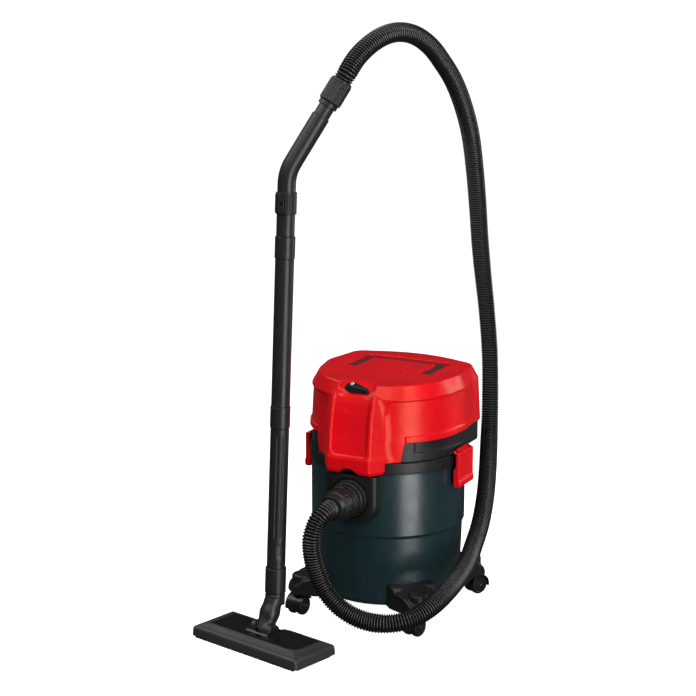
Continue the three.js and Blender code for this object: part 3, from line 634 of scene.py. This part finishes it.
def make_tank():
    b = BELLY
    corners = [
        (0, b["bottom"] + 4, 0), (96, b["bottom"] + 4, 3), (104, b["bottom"], 3),
        (b["base"], b["bottom"], 18), (b["lower"], b["bead"] - 3.5, 2.5),
        (b["radius"], b["bead"] + 2.5, 2.5),
        (b["radius"], b["top"], 1), (b["radius"] - 3, b["top"], 1),
        (b["radius"] - 3, b["bead"] + 4, 2), (b["lower"] - 3, b["bead"] - 4, 2),
        (b["base"] - 3, b["bottom"] + 3, 15), (104, b["bottom"] + 3, 3), (96, b["bottom"] + 7, 3),
        (0, b["bottom"] + 7, 0),
    ]
    obj = turned("tank_moulded", corners, VACUUM, 160, stations=12.0)
    finish(obj, TANK_PAINT, "vacuum", ["tank_shell"])


def make_collar():
    corners = [
        (156.4, 321, 0.5), (159.2, 321, 0.8), (159.2, 324.5, 0.6), (160, 325.2, 0.6), (160, 344.7, 1.2),
        (155, 344.7, 0.6), (155, 340, 0.4), (150.2, 340, 0.5), (150.2, 336.4, 0.5), (156.4, 336.4, 0.3),
    ]
    ring = turned("collar_ring", corners, VACUUM, 160)
    finish(ring, BLACK, "vacuum", ["tank_collar"])


# ---- Hose inlet ---------------------------------------------------------

def make_inlet():
    def housing(x, y, z):
        flat = rectangle(x, z, -58, 58, INLET["bottom"], 420, 44)
        body = common(flat, INLET["face"] - y, 13)
        body = np.maximum(body, np.maximum(z - 320.6, y + 112))
        dish = drum(x, z - INLET["z"], y, 40, -180, INLET["face"] + 2.4, 1.5)
        body = without(body, dish, 1.2)
        body = without(body, np.hypot(x, y) - 156.4, 0.4)
        return without(body, np.hypot(x, z - INLET["z"]) - INLET["bore"], 0.8)

    piece = skin("inlet_shield", housing, (-58, -172, 221), (58, -110, 321), 1.1, VACUUM)
    finish(piece, BLACK, "vacuum", ["inlet_housing"])

    socket = [
        (24.6, 169.8, 0.4), (38, 169.8, 0.5), (38, 174, 1.2), (35, 174.6, 0.8), (35, 185, 1.2),
        (33.4, 186.5, 0.8), (24.6, 186.5, 0.4),
    ]
    piece = turned("inlet_socket_ring", socket, ON_INLET, 96)
    finish(piece, BLACK, "vacuum", ["inlet_socket"])

    def lock(x, y, z):
        body = slab(np.hypot(x, y) - 32.5, z, 187, 211.5, 1.2)
        groove = slab(np.abs(np.hypot(x, y) - 32.5) - 1.1, z, 196.5, 199.5, 0.4)
        body = without(body, groove, 0.4)
        turn = np.round(np.arctan2(y, x) / (math.pi / 2)) * (math.pi / 2)
        u = x * np.cos(turn) + y * np.sin(turn)
        v = y * np.cos(turn) - x * np.sin(turn)
        body = joined(body, box(u, v, z, 28, 35.6, -5, 5, 189, 209, 1.4), 1.5)
        return without(body, np.hypot(x, y) - 24.6, 0.6)

    piece = skin("inlet_bayonet_ring", lock, (-36, -36, 187), (36, 36, 211.5), 0.7, ON_INLET)
    finish(piece, BLACK, "lock_ring", ["inlet_lock_ring"])

    def ribbed(radius, height, angle):
        outer = (radius > 29) & (height > 214) & (height < 231)
        return np.where(outer, -0.7 * step(np.cos(angle * 16), 0.2, 0.75), 0)

    cuff = [
        (17, 168, 0.4), (23.6, 168, 0.5), (24, 212, 0.3), (30.5, 212, 1.2), (30, 233, 1.5),
        (26.2, 235.5, 1.5), (25.2, 249, 1.2), (22.5, 250, 0.6), (17, 250, 0.4),
    ]
    piece = turned("inlet_cuff_body", cuff, ON_INLET, 192, ribbed, 3.0)
    finish(piece, BLACK, "vacuum", ["hose_inlet_cuff"])


# ---- Head ---------------------------------------------------------------

def head_plan(x, y, sizes, shrink=0.0):
    """The head seen from above: a circle in front, and a squarer back with a bulging rear side."""
    half, back, corner = sizes["half_width"], sizes["back"], sizes["corner"]
    middle = np.clip(1 - (x / (half - corner)) ** 2, 0, 1)
    behind = y - sizes["bulge"] * middle * step(y, 40, 110)
    front = np.maximum(np.hypot(x, y) - sizes["radius"], behind - back)
    rear = rectangle(x, behind, -half, half, -20, back, corner)
    return joined(front, rear, 14) + shrink


def round_the_side(x, y):
    """Distance round the cover's side from the middle of its front."""
    return np.abs(np.arctan2(x, -y)) * COVER["radius"]


# The chute's front face, and the recess in it that rises to the switch's slope, as (z, y).
CHUTE_FACE = [
    (323, -176), (330, -180), (354, -181), (362, -177.5), (400, -174), (440, -168), (466, -159),
    (483, -149), (494, -134), (498, -122),
]
CHUTE_RECESS = [
    (-200, 350), (-177.5, 350), (-176, 362), (-169.5, 400), (-163.5, 440), (-157, 462), (-150, 478),
    (-146, 483.7), (-115.4, 498), (-115.4, 530), (-200, 530),
]


def cover_side(x, y, z):
    """The cover's wall: drafted, bevelled along the top, with a sunk panel on each side."""
    lean = 0.0554 * np.maximum(z - COVER_BOTTOM, 0) + 0.5 * np.maximum(z - CHAMFER, 0)
    along = round_the_side(x, y)
    panel = np.minimum(
        rectangle(along, z, 64, 405, 397, 469, 32),
        rectangle(along, z, 64, 108, 300, 469, 20),
    )
    depth = 1.8 + 1.4 * step(z, 384, 402)
    sunk = depth * step(-panel, -0.2, 1.4) * (1 - step(along, 200, 300))
    return head_plan(x, y, COVER) + lean + sunk


def chute_shape(x, y, z):
    """The part of the cover that runs down its front, with slanted sides."""
    heights, depths = zip(*CHUTE_FACE)
    depth = y - np.interp(z, heights, depths)
    sides = 0.832 * (np.abs(x) - 46 - 0.667 * depth)
    body = common(-0.97 * depth, sides, 3.0)
    body = common(body, 323 - z, 3.0)
    body = np.maximum(body, np.maximum(y + 120, z - COVER_TOP))
    return np.maximum(body, np.where(z < 345.5, 162.9, 155.0) - np.hypot(x, y))


def chute_recess(x, y, z):
    return common(outline(y, z, CHUTE_RECESS), rectangle(x, z, -40, 40, 361, 600, 12), 1.5)


def handle_slot(x, y, z):
    """The recess that the folded carry handle lies in, deeper at its two pivots."""
    outer = rectangle(x, y, -94.7, 94.7, -9, 101.2, 15)
    inner = rectangle(x, y, -70.3, 70.3, -60, 73.8, 3)
    slot = slab(without(outer, inner, 1), z, 482, 520, 1)
    heels = box(np.abs(x), y, z, 70.5, 94.5, -9, 21, 474, 520, 2)
    return np.minimum(slot, heels)


# The apron that reaches down over the base on both sides of the chute, as (x, z).
APRON = [(-90, 345.6), (90, 345.6), (97, 386), (97.5, 392), (-97.5, 392), (-97, 386)]


def make_cover():
    def cover(x, y, z):
        side = cover_side(x, y, z)
        body = common(side, z - COVER_TOP, 3.0)
        body = common(body, COVER_BOTTOM - z, 0.8)
        skirt = outline(x, z, APRON, 2)
        apron = common(np.maximum(side, y + 60), skirt, 0.7)
        apron = np.maximum(apron, 155.0 - np.hypot(x, y))
        body = joined(np.minimum(body, apron), chute_shape(x, y, z), 4)
        recess = chute_recess(x, y, z)
        inside = common(side + 3.2, z - 465, 6)
        inside = np.maximum(np.maximum(inside, 3 - recess), 370 - z)
        body = without(body, inside, 0.3)
        body = without(body, recess, 1.6)
        mark = rod(x, y, z, (-4.0, -151.0, 481.0), (-5.5, -158.5, 462.0), 1.5, 1.2)
        body = without(body, mark, 0.4)
        notch = drum(x, z - 311, y, 24, -200, -140, 1)
        body = without(body, notch, 2)
        exhaust = box(x, y, z, -40, 40, 140, 175, 410, 450, 1)
        body = without(body, exhaust, 0.3)
        return without(body, handle_slot(x, y, z), 0.8)

    piece = skin("motor_cover", cover, (-160, -182, 322), (160, 164, 499), 1.5, VACUUM)
    finish(piece, RED, "head", ["head_cover"])


def make_base():
    def base(x, y, z):
        along = round_the_side(x, y)
        sunk = 3.0 * step(z, 362.5, 364) * step(along, 126, 129) * (1 - step(along, 274, 278))
        outer = common(head_plan(x, y, BASE) + sunk, np.abs(z - 365) - 20, 1)
        inside = np.maximum(head_plan(x, y, BASE, 3.5) + sunk, 349 - z)
        body = np.maximum(outer, -inside)
        distance = np.hypot(x, y)
        skirt = np.maximum(np.abs(distance - 147.8) - 1.8, np.abs(z - 338.5) - 7.5)
        seat = np.maximum(np.abs(distance - 82) - 2, np.abs(z - 343) - 3.5)
        rim = slab(distance - 153.6, z, 345, 349, 1)
        pin = np.hypot(np.abs(x) - LATCH["x"], z - LATCH["z"])
        ears = np.minimum(rectangle(np.abs(x), z, 146, 166, 345.3, 350.7), pin - 4.2)
        ears = slab(ears, np.abs(y), 22.3, 28.7, 0.6)
        body = joined(np.minimum(body, rim), ears, 1)
        body = np.minimum(np.minimum(body, skirt), seat)
        body = without(body, np.minimum(distance - 17, pin - 1.9), 0.3)
        body = without(body, drum(x + 60, z - 366, y, 6.3, 120, 170, 0.5), 0.3)
        return np.maximum(body, -inside)

    piece = skin("motor_base", base, (-171, -156, 331), (171, 157, 386), 1.4, VACUUM)
    finish(piece, BLACK, "head", ["head_base"])


def make_handle():
    h = HANDLE

    def bow(x, y, z):
        outer = rectangle(x, y, -h["outer"], h["outer"], h["front"], h["back"], 13)
        inner = rectangle(x, y, -h["inner"], h["inner"], -60, h["bar"], 2)
        body = slab(without(outer, inner, 1.5), z, 484, 493.5, 1.3)
        grip = slab(rectangle(x, y, -58, 58, h["bar"] + 4, h["back"] - 4, 3), z, 492.9, 500, 0.3)
        return without(body, grip, 0.3)

    piece = skin("carry_handle_bow", bow, (-94, -5, 484), (94, 100, 493.5), 0.9, VACUUM)
    finish(piece, DARK_GREY, "handle", ["carry_handle"])


def make_switch():
    def knob(x, y, z):
        along = np.clip(x / 33, 0, 1)
        flat = np.hypot(x - 33 * along, y) - (13.2 - 8.4 * along)
        draft = 0.86 * (flat + 0.55 * (z - 1.5) * (1 - 0.6 * along))
        top = 0.97 * (z - 14.2 + 5.0 * np.clip(x / 37, 0, 1))
        body = common(common(draft, top, 1.6), 1.5 - z, 0.6)
        heel = 0.7 * (np.hypot(x + 10 * np.clip(-x / 10, 0, 1), y) - 11 + 0.9 * (z - 1.5))
        body = joined(body, common(heel, 1.5 - z, 0.6), 2)
        tip = drum(x - 32.6, y, z, 4.6, 1.5, 10.2, 0.8)
        body = joined(body, tip, 0.8)
        dimple = np.sqrt((x - 32.6) ** 2 + y ** 2 + (z - 12.6) ** 2) - 3.9
        body = without(body, dimple, 0.3)
        return np.minimum(body, drum(x, y, z, 4, -15, 4, 0.5))

    piece = skin("switch_lever", knob, (-22, -13.5, -15), (38, 13.5, 14.3), 0.6, SWITCH)
    finish(piece, BLACK, "switch", ["switch_knob"])
    mark = [(1.2, 13.4, 0), (3.7, 13.4, 0), (3.7, 14.4, 0.3), (1.2, 14.5, 0.2)]
    piece = turned("switch_spot", mark, SWITCH, 40)
    finish(piece, WHITE, "switch")


# The latch's outline from the side, with X outwards and Z up from its pin.
LATCH_SIDE = [
    (-5.5, 4), (-0.5, -2), (-0.5, -25), (-3, -29), (-5.4, -31), (-5.4, -62), (-2, -66.5), (7.5, -66.5),
    (9.8, -62), (9.8, -54), (8, -50), (8, 3.5), (-5.5, 9.2),
]
LATCH_HOLLOW = [(-20, 13.3), (-20, -58), (4.9, -58), (4.9, 2.8)]


def latch_shape(x, y, z):
    """A hollow latch on its pin, with a sunk window in its face and a hook behind."""
    half = LATCH["half_width"]
    shell = slab(outline(x, z, LATCH_SIDE, 0.8), y, -half, half, 2.6)
    shell = without(shell, slab(outline(x, z, LATCH_HOLLOW), y, 3.5 - half, half - 3.5, 0.5), 0.3)
    eye = slab(np.hypot(x, z) - 4.8, y, -21.5, 21.5, 0.4)
    web = box(x, y, z, 0, 6, -21.5, 21.5, -4.8, 3, 0.3)
    hook = box(x, y, z, -5.3, 6, -14, 14, -35, -31, 0.6)
    body = np.minimum(np.minimum(shell, eye), np.minimum(web, hook))
    window = box(x, y, z, 6.4, 14, -25, 22, -51, -1, 2.5)
    body = without(body, window, 0.8)
    notch = box(x, np.abs(y), z, -20, 4.3, 21.9, 29.1, -8, 15, 0.2)
    return without(body, np.minimum(np.hypot(x, z) - 1.9, notch), 0.2)


def make_latches():
    for name, turn in (("right", 0), ("left", 180)):
        side = -LATCH["x"] if turn else LATCH["x"]
        place = placed(VACUUM, side, 0, LATCH["z"], turn)
        piece = skin(f"latch_clip_{name}", latch_shape, (-9, -35, -67), (10, 35, 10), 0.7, place)
        finish(piece, RED, f"latch_{name[0]}", [f"latch_{name}"])


def make_rear():
    def grille(x, y, z):
        flange = box(x, y, z, -45, 45, 156, 165.7, 405, 455, 1.4)
        flange = np.maximum(flange, 0.1 - cover_side(x, y, z))
        neck = box(x, y, z, -39.7, 39.7, 151, 163, 410.3, 449.7, 0.5)
        row = z - 413.95 - 8.4 * np.clip(np.round((z - 413.95) / 8.4), 0, 4)
        slots = slab(rectangle(x, row, -37, 37, -2.25, 2.25, 2.2), y, 140, 175, 0.3)
        return without(np.minimum(flange, neck), slots, 0.6)

    piece = skin("exhaust_louvres", grille, (-45, 151, 405), (45, 166, 455), 0.8, VACUUM)
    finish(piece, BLACK, "head", ["exhaust_grille"])

    def ribs(radius, height, angle):
        return np.where((height > 159) & (radius > 4.5), -0.5 * (np.sin(height * 1.9) > 0), 0)

    sleeve = [
        (3.7, 144, 0.2), (6, 144, 0.3), (6, 152, 0.2), (10, 152, 0.5), (10, 156.5, 0.6), (7, 157.5, 0.6),
        (5.6, 181, 0.6), (3.7, 181, 0.3),
    ]
    place = placed(VACUUM, -60, 0, 366, 180, 90)
    piece = turned("cord_gland_sleeve", sleeve, place, 40, ribs, 0.8)
    finish(piece, RUBBER, "head", ["cord_gland"])


# ---- Casters ------------------------------------------------------------

BRACKET_SIDE = [(209, 44), (209, 52), (205, 62), (188, 76), (168, 84), (155, 92), (112, 92), (112, 44)]
BRACKET_PLAN = [
    (112, -48), (150, -48), (166, -42), (209, -20), (209, 20), (166, 42), (150, 48), (112, 48),
]


def bracket_shape(x, y, z):
    """An arm under the tank, with the caster's domed socket at its end. X is outwards."""
    arm = common(outline(x, z, BRACKET_SIDE, 2), outline(x, y, BRACKET_PLAN, 3), 3)
    valley = slab(np.hypot(np.abs(y) - 38, z - 98) - 17, x, 162, 230, 5)
    arm = without(arm, valley, 3)
    socket = drum(x - CASTER["stem"], y, z, 19.5, 44, 84, 6)
    arm = joined(arm, socket, 2.5)
    tank = np.hypot(np.maximum(np.hypot(x, y) - 129, 0), np.minimum(z - 61, 0)) - 18
    wall = np.hypot(x, y) - 152.4 + (188 - z) * 5 / 145
    arm = without(arm, np.maximum(np.maximum(tank, wall), 42.6 - z), 0.4)
    return without(arm, drum(x - CASTER["stem"], y, z, 5.4, 30, 76, 0.5), 0.4)


def fork_shape(x, y, z):
    """A twin-wheel caster's body: a web between the wheels and a hood over them."""
    v, w = y - CASTER["trail"], z - CASTER["wheel"]
    distance = np.hypot(v, w)
    web = slab(distance - 17, x, -4, 4, 0.8)
    hood = slab(np.abs(distance - 21.6) - 0.9, x, -19, 19, 0.8)
    hood = common(hood, -(w + 0.35 * v - 2), 0.8)
    neck = box(x, y, z, -5, 5, -12, 14, 28, 41, 1)
    cap = drum(x, y, z, 12, 40.2, 43.7, 0.6)
    stem = drum(x, y, z, 5, 42, 72, 0.6)
    body = joined(joined(web, neck, 1.5), hood, 1.5)
    body = np.minimum(joined(body, cap, 1), stem)
    return without(body, np.hypot(v, w) - 2.8, 0.2)


WHEEL_PROFILE = [
    (2.8, 4.6, 0.3), (18, 4.6, 0.8), (19.2, 5.2, 0.8), (20, 6.8, 1.0), (20, 13.4, 1.6),
    (17.6, 16.6, 1.2), (15.6, 16.6, 0.5), (15.0, 15.6, 0.5),
    (7.2, 16.2, 0.5), (6.6, 17.4, 0.5), (2.8, 17.4, 0.4),
]


def make_casters():
    for corner, (angle, heading) in CORNERS.items():
        radial = placed(VACUUM, 0, 0, 0, angle)
        piece = skin(f"bracket_arm_{corner}", bracket_shape, (112, -48, 44), (209, 48, 93), 1.2, radial)
        finish(piece, BLACK, "vacuum", [f"caster_bracket_{corner}"])
        stand = placed(radial, CASTER["stem"], 0, 0, heading - angle)
        piece = skin(f"caster_hood_{corner}", fork_shape, (-19, -13, 0), (19, 36, 73), 0.9, stand)
        finish(piece, WHEEL, f"caster_{corner}", [f"caster_fork_{corner}"])
        for letter, turn in (("a", 90), ("b", -90)):
            place = stand @ Matrix.Translation((0, CASTER["trail"], CASTER["wheel"]))
            place = place @ Matrix.Rotation(math.radians(turn), 4, "Y")
            piece = turned(f"wheel_disc_{letter}_{corner}", WHEEL_PROFILE, place, 64)
            nodes = [f"caster_wheel_{letter}_{corner}"]
            finish(piece, WHEEL, f"wheel_{letter}_{corner}", nodes)


# ---- Wand ---------------------------------------------------------------

def tube_profile(low, high):
    outer, bell, spigot = TUBE["outer"], TUBE["bell"], TUBE["spigot"]
    socket, bore = TUBE["socket"], TUBE["bore"]
    return [
        (bore, low - 39, 0.3), (spigot, low - 39, 0.6), (spigot, low, 0.2), (outer, low, 0.7),
        (outer, high - 42, 1.5), (bell, high - 40.5, 0.8), (bell, high, 0.8), (socket, high, 0.5),
        (socket, high - 41, 0.3), (bore, high - 45, 0.3),
    ]


def lower_relief(radius, height, angle):
    """Two long flutes down the front of the tube, and a shallow thumb recess below them."""
    depth = 0
    for middle in (-1.02, -0.42):
        apart = np.abs(angle - (middle % (2 * math.pi))) * TUBE["outer"]
        ends = step(height, 92, 100) * (1 - step(height, 298, 306))
        depth = depth + 1.1 * (1 - step(apart, 0.6, 2.6)) * ends
    apart = np.abs(angle - (-0.55 % (2 * math.pi))) * TUBE["outer"]
    depth = depth + 0.9 * (1 - step(apart, 2.5, 4.5)) * step(height, 58, 62) * (1 - step(height, 84, 89))
    return np.where(radius > TUBE["socket"] + 0.5, -depth, 0)


def upper_relief(radius, height, angle):
    """A small level mark on the bell."""
    apart = np.abs(angle - (-1.0 % (2 * math.pi))) * TUBE["bell"]
    mark = (1 - step(apart, 4.5, 5.2)) * (1 - step(np.abs(height - 661), 0.8, 1.5))
    return np.where(radius > TUBE["socket"] + 0.5, -0.7 * mark, 0)


def make_tubes():
    piece = turned("wand_lower", tube_profile(37, 357.8), WAND, 144, lower_relief, 3.0)
    finish(piece, SATIN, "vacuum", ["lower_tube"])
    piece = turned("wand_upper", tube_profile(358.1, 685.2), WAND, 144, upper_relief, 3.0)
    finish(piece, SATIN, "vacuum", ["upper_tube"])


def make_grip():
    stations = [(0, 0, s) for s in np.linspace(646, GRIP["bend_start"], 48)]
    for angle in np.linspace(0, BEND, 16)[1:]:
        out = GRIP["bend_radius"] * (1 - math.cos(angle))
        stations.append((out, 0, GRIP["bend_start"] + GRIP["bend_radius"] * math.sin(angle)))
    straight = np.array((math.sin(BEND), 0, math.cos(BEND)))
    bent = np.array(stations[-1])
    stations += [tuple(bent + straight * s) for s in np.linspace(0, GRIP["reach"], 60)[1:]]
    path = np.array(stations)
    along = np.r_[0, np.cumsum(np.linalg.norm(np.diff(path, axis=0), axis=1))]
    fine = np.linspace(0, along[-1], 700)
    path = np.stack([np.interp(fine, along, path[:, i]) for i in range(3)], 1)
    left = along[-1] - fine
    radii = np.full(len(fine), 17.5)
    radii = np.where(left < 21, 15.4 + 2.1 * step(left, 19.4, 21), radii)
    radii = np.where(fine < 40, TUBE["spigot"] + 1.6 * step(fine, 38.6, 40), radii)
    piece = swept("grip_bent_tube", path, radii, GRIP_FRAME, 72)
    finish(piece, SATIN, "vacuum", ["grip_tube"])

    def ring(x, y, z):
        body = slab(np.hypot(x, y) - 20, z, 728, 769, 1)
        turn = np.arctan2(-y, -x)
        rib = turn / 0.22 - np.clip(np.round(turn / 0.22), -4, 4)
        ribs = slab(np.maximum(np.abs(rib) * 0.22 * 20 - 1.0, np.hypot(x, y) - 21.4), z, 731, 766, 0.5)
        ribs = np.maximum(ribs, 18.5 - np.hypot(x, y))
        seam = slab(np.abs(np.hypot(x, y) - 20) - 0.8, z, 762.5, 764, 0.2)
        body = np.minimum(without(body, seam, 0.2), ribs)
        window = np.maximum(np.hypot(y, z - 748) - 4, x)
        return without(np.maximum(body, 17.8 - np.hypot(x, y)), window, 0.4)

    place = GRIP_FRAME @ Matrix.Rotation(0.9, 4, "Z")
    piece = skin("air_control_ring", ring, (-21.5, -21.5, 728), (21.5, 21.5, 769), 0.6, place)
    finish(piece, BLACK, "air_control", ["air_ring"])

    def knurls(radius, height, angle):
        outer = (radius > 20.5) & (height > 11.5) & (height < GRIP["cuff"] - 5)
        return np.where(outer, -0.8 * (0.5 + 0.5 * np.cos(angle * 30)), 0)

    cuff = [
        (15, GAP, 0.3), (18.8, GAP, 0.6), (18.8, 9, 0.6), (22, 11, 0.8), (22, GRIP["cuff"] - 5, 1.0),
        (20.8, GRIP["cuff"] - 3.5, 0.8), (20.6, GRIP["cuff"], 1.0), (15, GRIP["cuff"], 0.3),
    ]
    piece = turned("hose_cuff_knurled", cuff, CUFF_FRAME, 240, knurls, 3.0)
    finish(piece, BLACK, "hose_cuff", ["hose_wand_cuff"])


# ---- Floor nozzle -------------------------------------------------------

def make_neck():
    lean = math.radians(TOOL["lean"])
    foot = np.array((0.0, TOOL["wand_back"], TOOL["wand_up"]))
    up = np.array((0.0, math.sin(lean), math.cos(lean)))
    hinge = np.array((0.0, NOZZLE["pivot_y"], NOZZLE["pivot_z"]))
    knee = foot - 20 * up
    waist = hinge + 0.5 * (knee - hinge)

    def neck(x, y, z):
        py, pz = y - foot[1], z - foot[2]
        v, w = py * up[2] - pz * up[1], py * up[1] + pz * up[2]
        collar = drum(x, v, w, 20.5, -14, 36.7, 1.2)
        stalk = joined(rod(x, y, z, hinge, waist, 17.2, 18.4), rod(x, y, z, waist, knee, 18.4, 18.0), 6)
        upper = rod(x, y, z, knee, foot, 17.6, 16.6)
        body = joined(joined(stalk, upper, 3), collar, 1)
        ridge = rod(x, y, z, hinge + (0, -17, 10), knee + (0, -16, -8), 3.5, 1.2)
        body = joined(body, ridge, 9)
        lip = slab(np.abs(np.hypot(x, v) - 17.5) - 2.2, w, -21, -17.6, 0.8)
        body = np.minimum(body, lip)
        barrel = slab(np.hypot(y - hinge[1], z - hinge[2]) - 17, x, -26, 26, 1.5)
        body = joined(body, barrel, 6)
        clip = box(x, v, w, 12, 21.5, -6, 6, -36, -16, 1.2)
        body = joined(body, clip, 1)
        return without(body, drum(x, v, w, TUBE["socket"], -5, 60, 0.4), 0.5)

    piece = skin("nozzle_neck_stalk", neck, (-26.5, -15, 13), (26.5, 66, 154), 1.0, TOOL_FRAME)
    finish(piece, SATIN, "neck", ["nozzle_neck"])


# The raised panel on the nozzle's top, with one front corner cut off.
NOZZLE_PANEL = [(-108, -38), (98, -38), (124, -20), (124, 44), (-108, 44)]


def make_nozzle():
    w, d = NOZZLE["half_width"], NOZZLE["half_depth"]
    py, pz = NOZZLE["pivot_y"], NOZZLE["pivot_z"]

    def body(x, y, z):
        edge = rectangle(x, y, -w, w, -d, d, 8)
        raised = step(-outline(x, y, NOZZLE_PANEL, 3), -0.6, 0.6)
        roof = 0.9 * (z - 23.5 - 7.5 * step(-edge, 1, 30) - 1.1 * raised)
        shape = common(edge + 0.1 * (z - 5), roof, 5)
        shape = common(shape, 4.8 - z, 0.6)
        slant = 0.75 * np.maximum(z - 24, 0)
        cradle = slab(rectangle(x, y - py, -36, 36, -27, 27, 8) + slant, z, 9, 38, 3)
        shape = joined(shape, cradle, 5)
        seat = slab(np.hypot(y - py, z - pz) - 17.8, x, -26.8, 26.8, 1)
        shape = without(shape, seat, 1)
        above = box(x, y, z, -26.8, 26.8, py - 17.8, py + 17.8, pz, 70, 0.5)
        behind = box(x, y, z, -21, 21, py, 90, 15, 70, 1.5)
        shape = without(without(shape, above, 1), behind, 1.2)
        under = box(np.abs(x), np.abs(y), z, 33, 132, 20, 52, -10, 18, 1)
        channel = box(x, y, z, -126, 126, -16, 16, -10, 13, 1)
        duct = box(x, y, z, -17, 17, py - 11, py + 11, 5, 30, 1)
        belly = box(x, y, z, -136.4, 136.4, -56.4, 56.4, -10, 7, 0.5)
        under = np.minimum(under, belly)
        return without(without(without(shape, under, 0.5), channel, 0.5), duct, 0.5)

    piece = skin("nozzle_shell", body, (-141, -59, 4.8), (141, 59, 39), 1.1, TOOL_FRAME)
    finish(piece, GLOSS, "nozzle", ["nozzle_body"])


def make_bristles():
    """Rows of tufts, each a tapering bundle of strands."""
    spread = np.random.default_rng(7)
    for side, name in ((-1, "front"), (1, "rear")):
        points, faces = [], []
        holder_low = 4.6
        for row in (-1.5, 1.5):
            for x in np.arange(-132, 132.1, 2.6):
                lean = spread.uniform(-0.8, 0.8, 2)
                base = len(points)
                for height, radius in ((6.6, 0.8), (3.5, 1.15), (0.5, 1.35)):
                    share = (6.6 - height) / 6.1
                    for k in range(6):
                        angle = k * math.pi / 3
                        points.append((
                            x + lean[0] * share + radius * math.cos(angle),
                            side * 53 + row + 0.5 * lean[1] * share + 0.9 * radius * math.sin(angle),
                            height,
                        ))
                for ring in range(2):
                    for k in range(6):
                        a, b = base + ring * 6 + k, base + ring * 6 + (k + 1) % 6
                        faces.append((a, a + 6, b + 6, b))
                faces.append([base + k for k in range(6)])
                faces.append([base + 12 + k for k in range(6)][::-1])
        piece = mesh_object(f"bristle_tufts_{name}", points, faces, TOOL_FRAME)
        finish(piece, BRISTLE, "nozzle", [f"brush_strip_{name}"])

        def holder(x, y, z):
            return box(x, y, z, -134, 134, side * 53 - 3, side * 53 + 3, holder_low, 6.9, 0.5)

        low, high = sorted((side * 53 - 3, side * 53 + 3))
        piece = skin(f"bristle_holder_{name}", holder, (-134, low, 4.5), (134, high, 7), 0.9, TOOL_FRAME)
        finish(piece, BLACK, "nozzle")


# ---- Inside the head ----------------------------------------------------

def make_inside():
    ball = [(20 * math.sin(a), 274 - 20 * math.cos(a), 0) for a in np.linspace(0, math.pi, 25)]
    ball[0], ball[-1] = (0, 254, 0), (0, 294, 0)
    piece = turned("float_sphere", ball, VACUUM, 48)
    finish(piece, WHITE, "float", ["float_ball"])
    sleeve = [(61.5, 246, 1.5), (77, 246, 3), (77, 338, 3), (61.5, 338, 1.5)]
    piece = turned("filter_sleeve_foam", sleeve, VACUUM, 96, stations=6.0)
    finish(piece, FOAM, "filter", ["filter_sleeve"])
    pin = [(0, -28.7, 0), (1.6, -28.7, 0.4), (1.6, 28.7, 0.4), (0, 28.7, 0)]
    for name, side in (("right", 1), ("left", -1)):
        place = placed(VACUUM, side * LATCH["x"], 0, LATCH["z"], 0, 90)
        piece = turned(f"latch_axle_{name}", pin, place, 32)
        finish(piece, STEEL, "head", [f"latch_pin_{name}"])


KEPT = {
    "inlet_deflector": BLACK, "handle_pin_right": STEEL, "handle_pin_left": STEEL, "head_seal": RUBBER,
    "fan_housing": BLACK, "motor_body": MOTOR_STEEL, "motor_shaft": STEEL, "fan": ALLOY,
    "filter_basket": BLACK, "switch_body": BLACK, "nozzle_sole": BLACK,
}


def finish_kept_nodes():
    kept = dict(KEPT)
    for corner in CORNERS:
        kept[f"caster_axle_{corner}"] = STEEL
    for node, material in kept.items():
        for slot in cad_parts[node].material_slots:
            slot.material = material


# ---- Stage --------------------------------------------------------------

def make_stage():
    points, faces = [], []
    cells, half = 24, 60.0
    for i in range(cells + 1):
        for j in range(cells + 1):
            points.append((-half + 2 * half * i / cells, -half + 2 * half * j / cells, 0))
    for i in range(cells):
        for j in range(cells):
            a = i * (cells + 1) + j
            faces.append((a, a + cells + 1, a + cells + 2, a + 1))
    floor = mesh_object("floor", points, faces, Matrix.Identity(4))
    floor.data.materials.append(FLOOR)
    floor.visible_diffuse = False
    floor.visible_glossy = False
    floor.visible_shadow = False


def area_light(name, place, target, size, height, power):
    data = bpy.data.lights.new(name, "AREA")
    data.shape = "RECTANGLE"
    data.size, data.size_y, data.energy = size, height, power
    light = bpy.data.objects.new(name, data)
    light.location = place
    light.rotation_mode = "QUATERNION"
    light.rotation_quaternion = (Vector(target) - Vector(place)).to_track_quat("-Z", "Y")
    bpy.context.scene.collection.objects.link(light)


def make_lights():
    world = bpy.data.worlds.new("studio")
    world.use_nodes = True
    world.node_tree.nodes["Background"].inputs["Color"].default_value = (1, 1, 1, 1)
    world.node_tree.nodes["Background"].inputs["Strength"].default_value = SKY
    bpy.context.scene.world = world
    bpy.context.scene.view_settings.view_transform = "Standard"
    for name, settings in LIGHTS.items():
        area_light(name, *settings)


make_tank()
make_collar()
make_inlet()
make_cover()
make_base()
make_handle()
make_switch()
make_latches()
make_rear()
make_casters()
make_tubes()
make_grip()
make_neck()
make_nozzle()
make_bristles()
make_inside()
finish_kept_nodes()
make_stage()
make_lights()
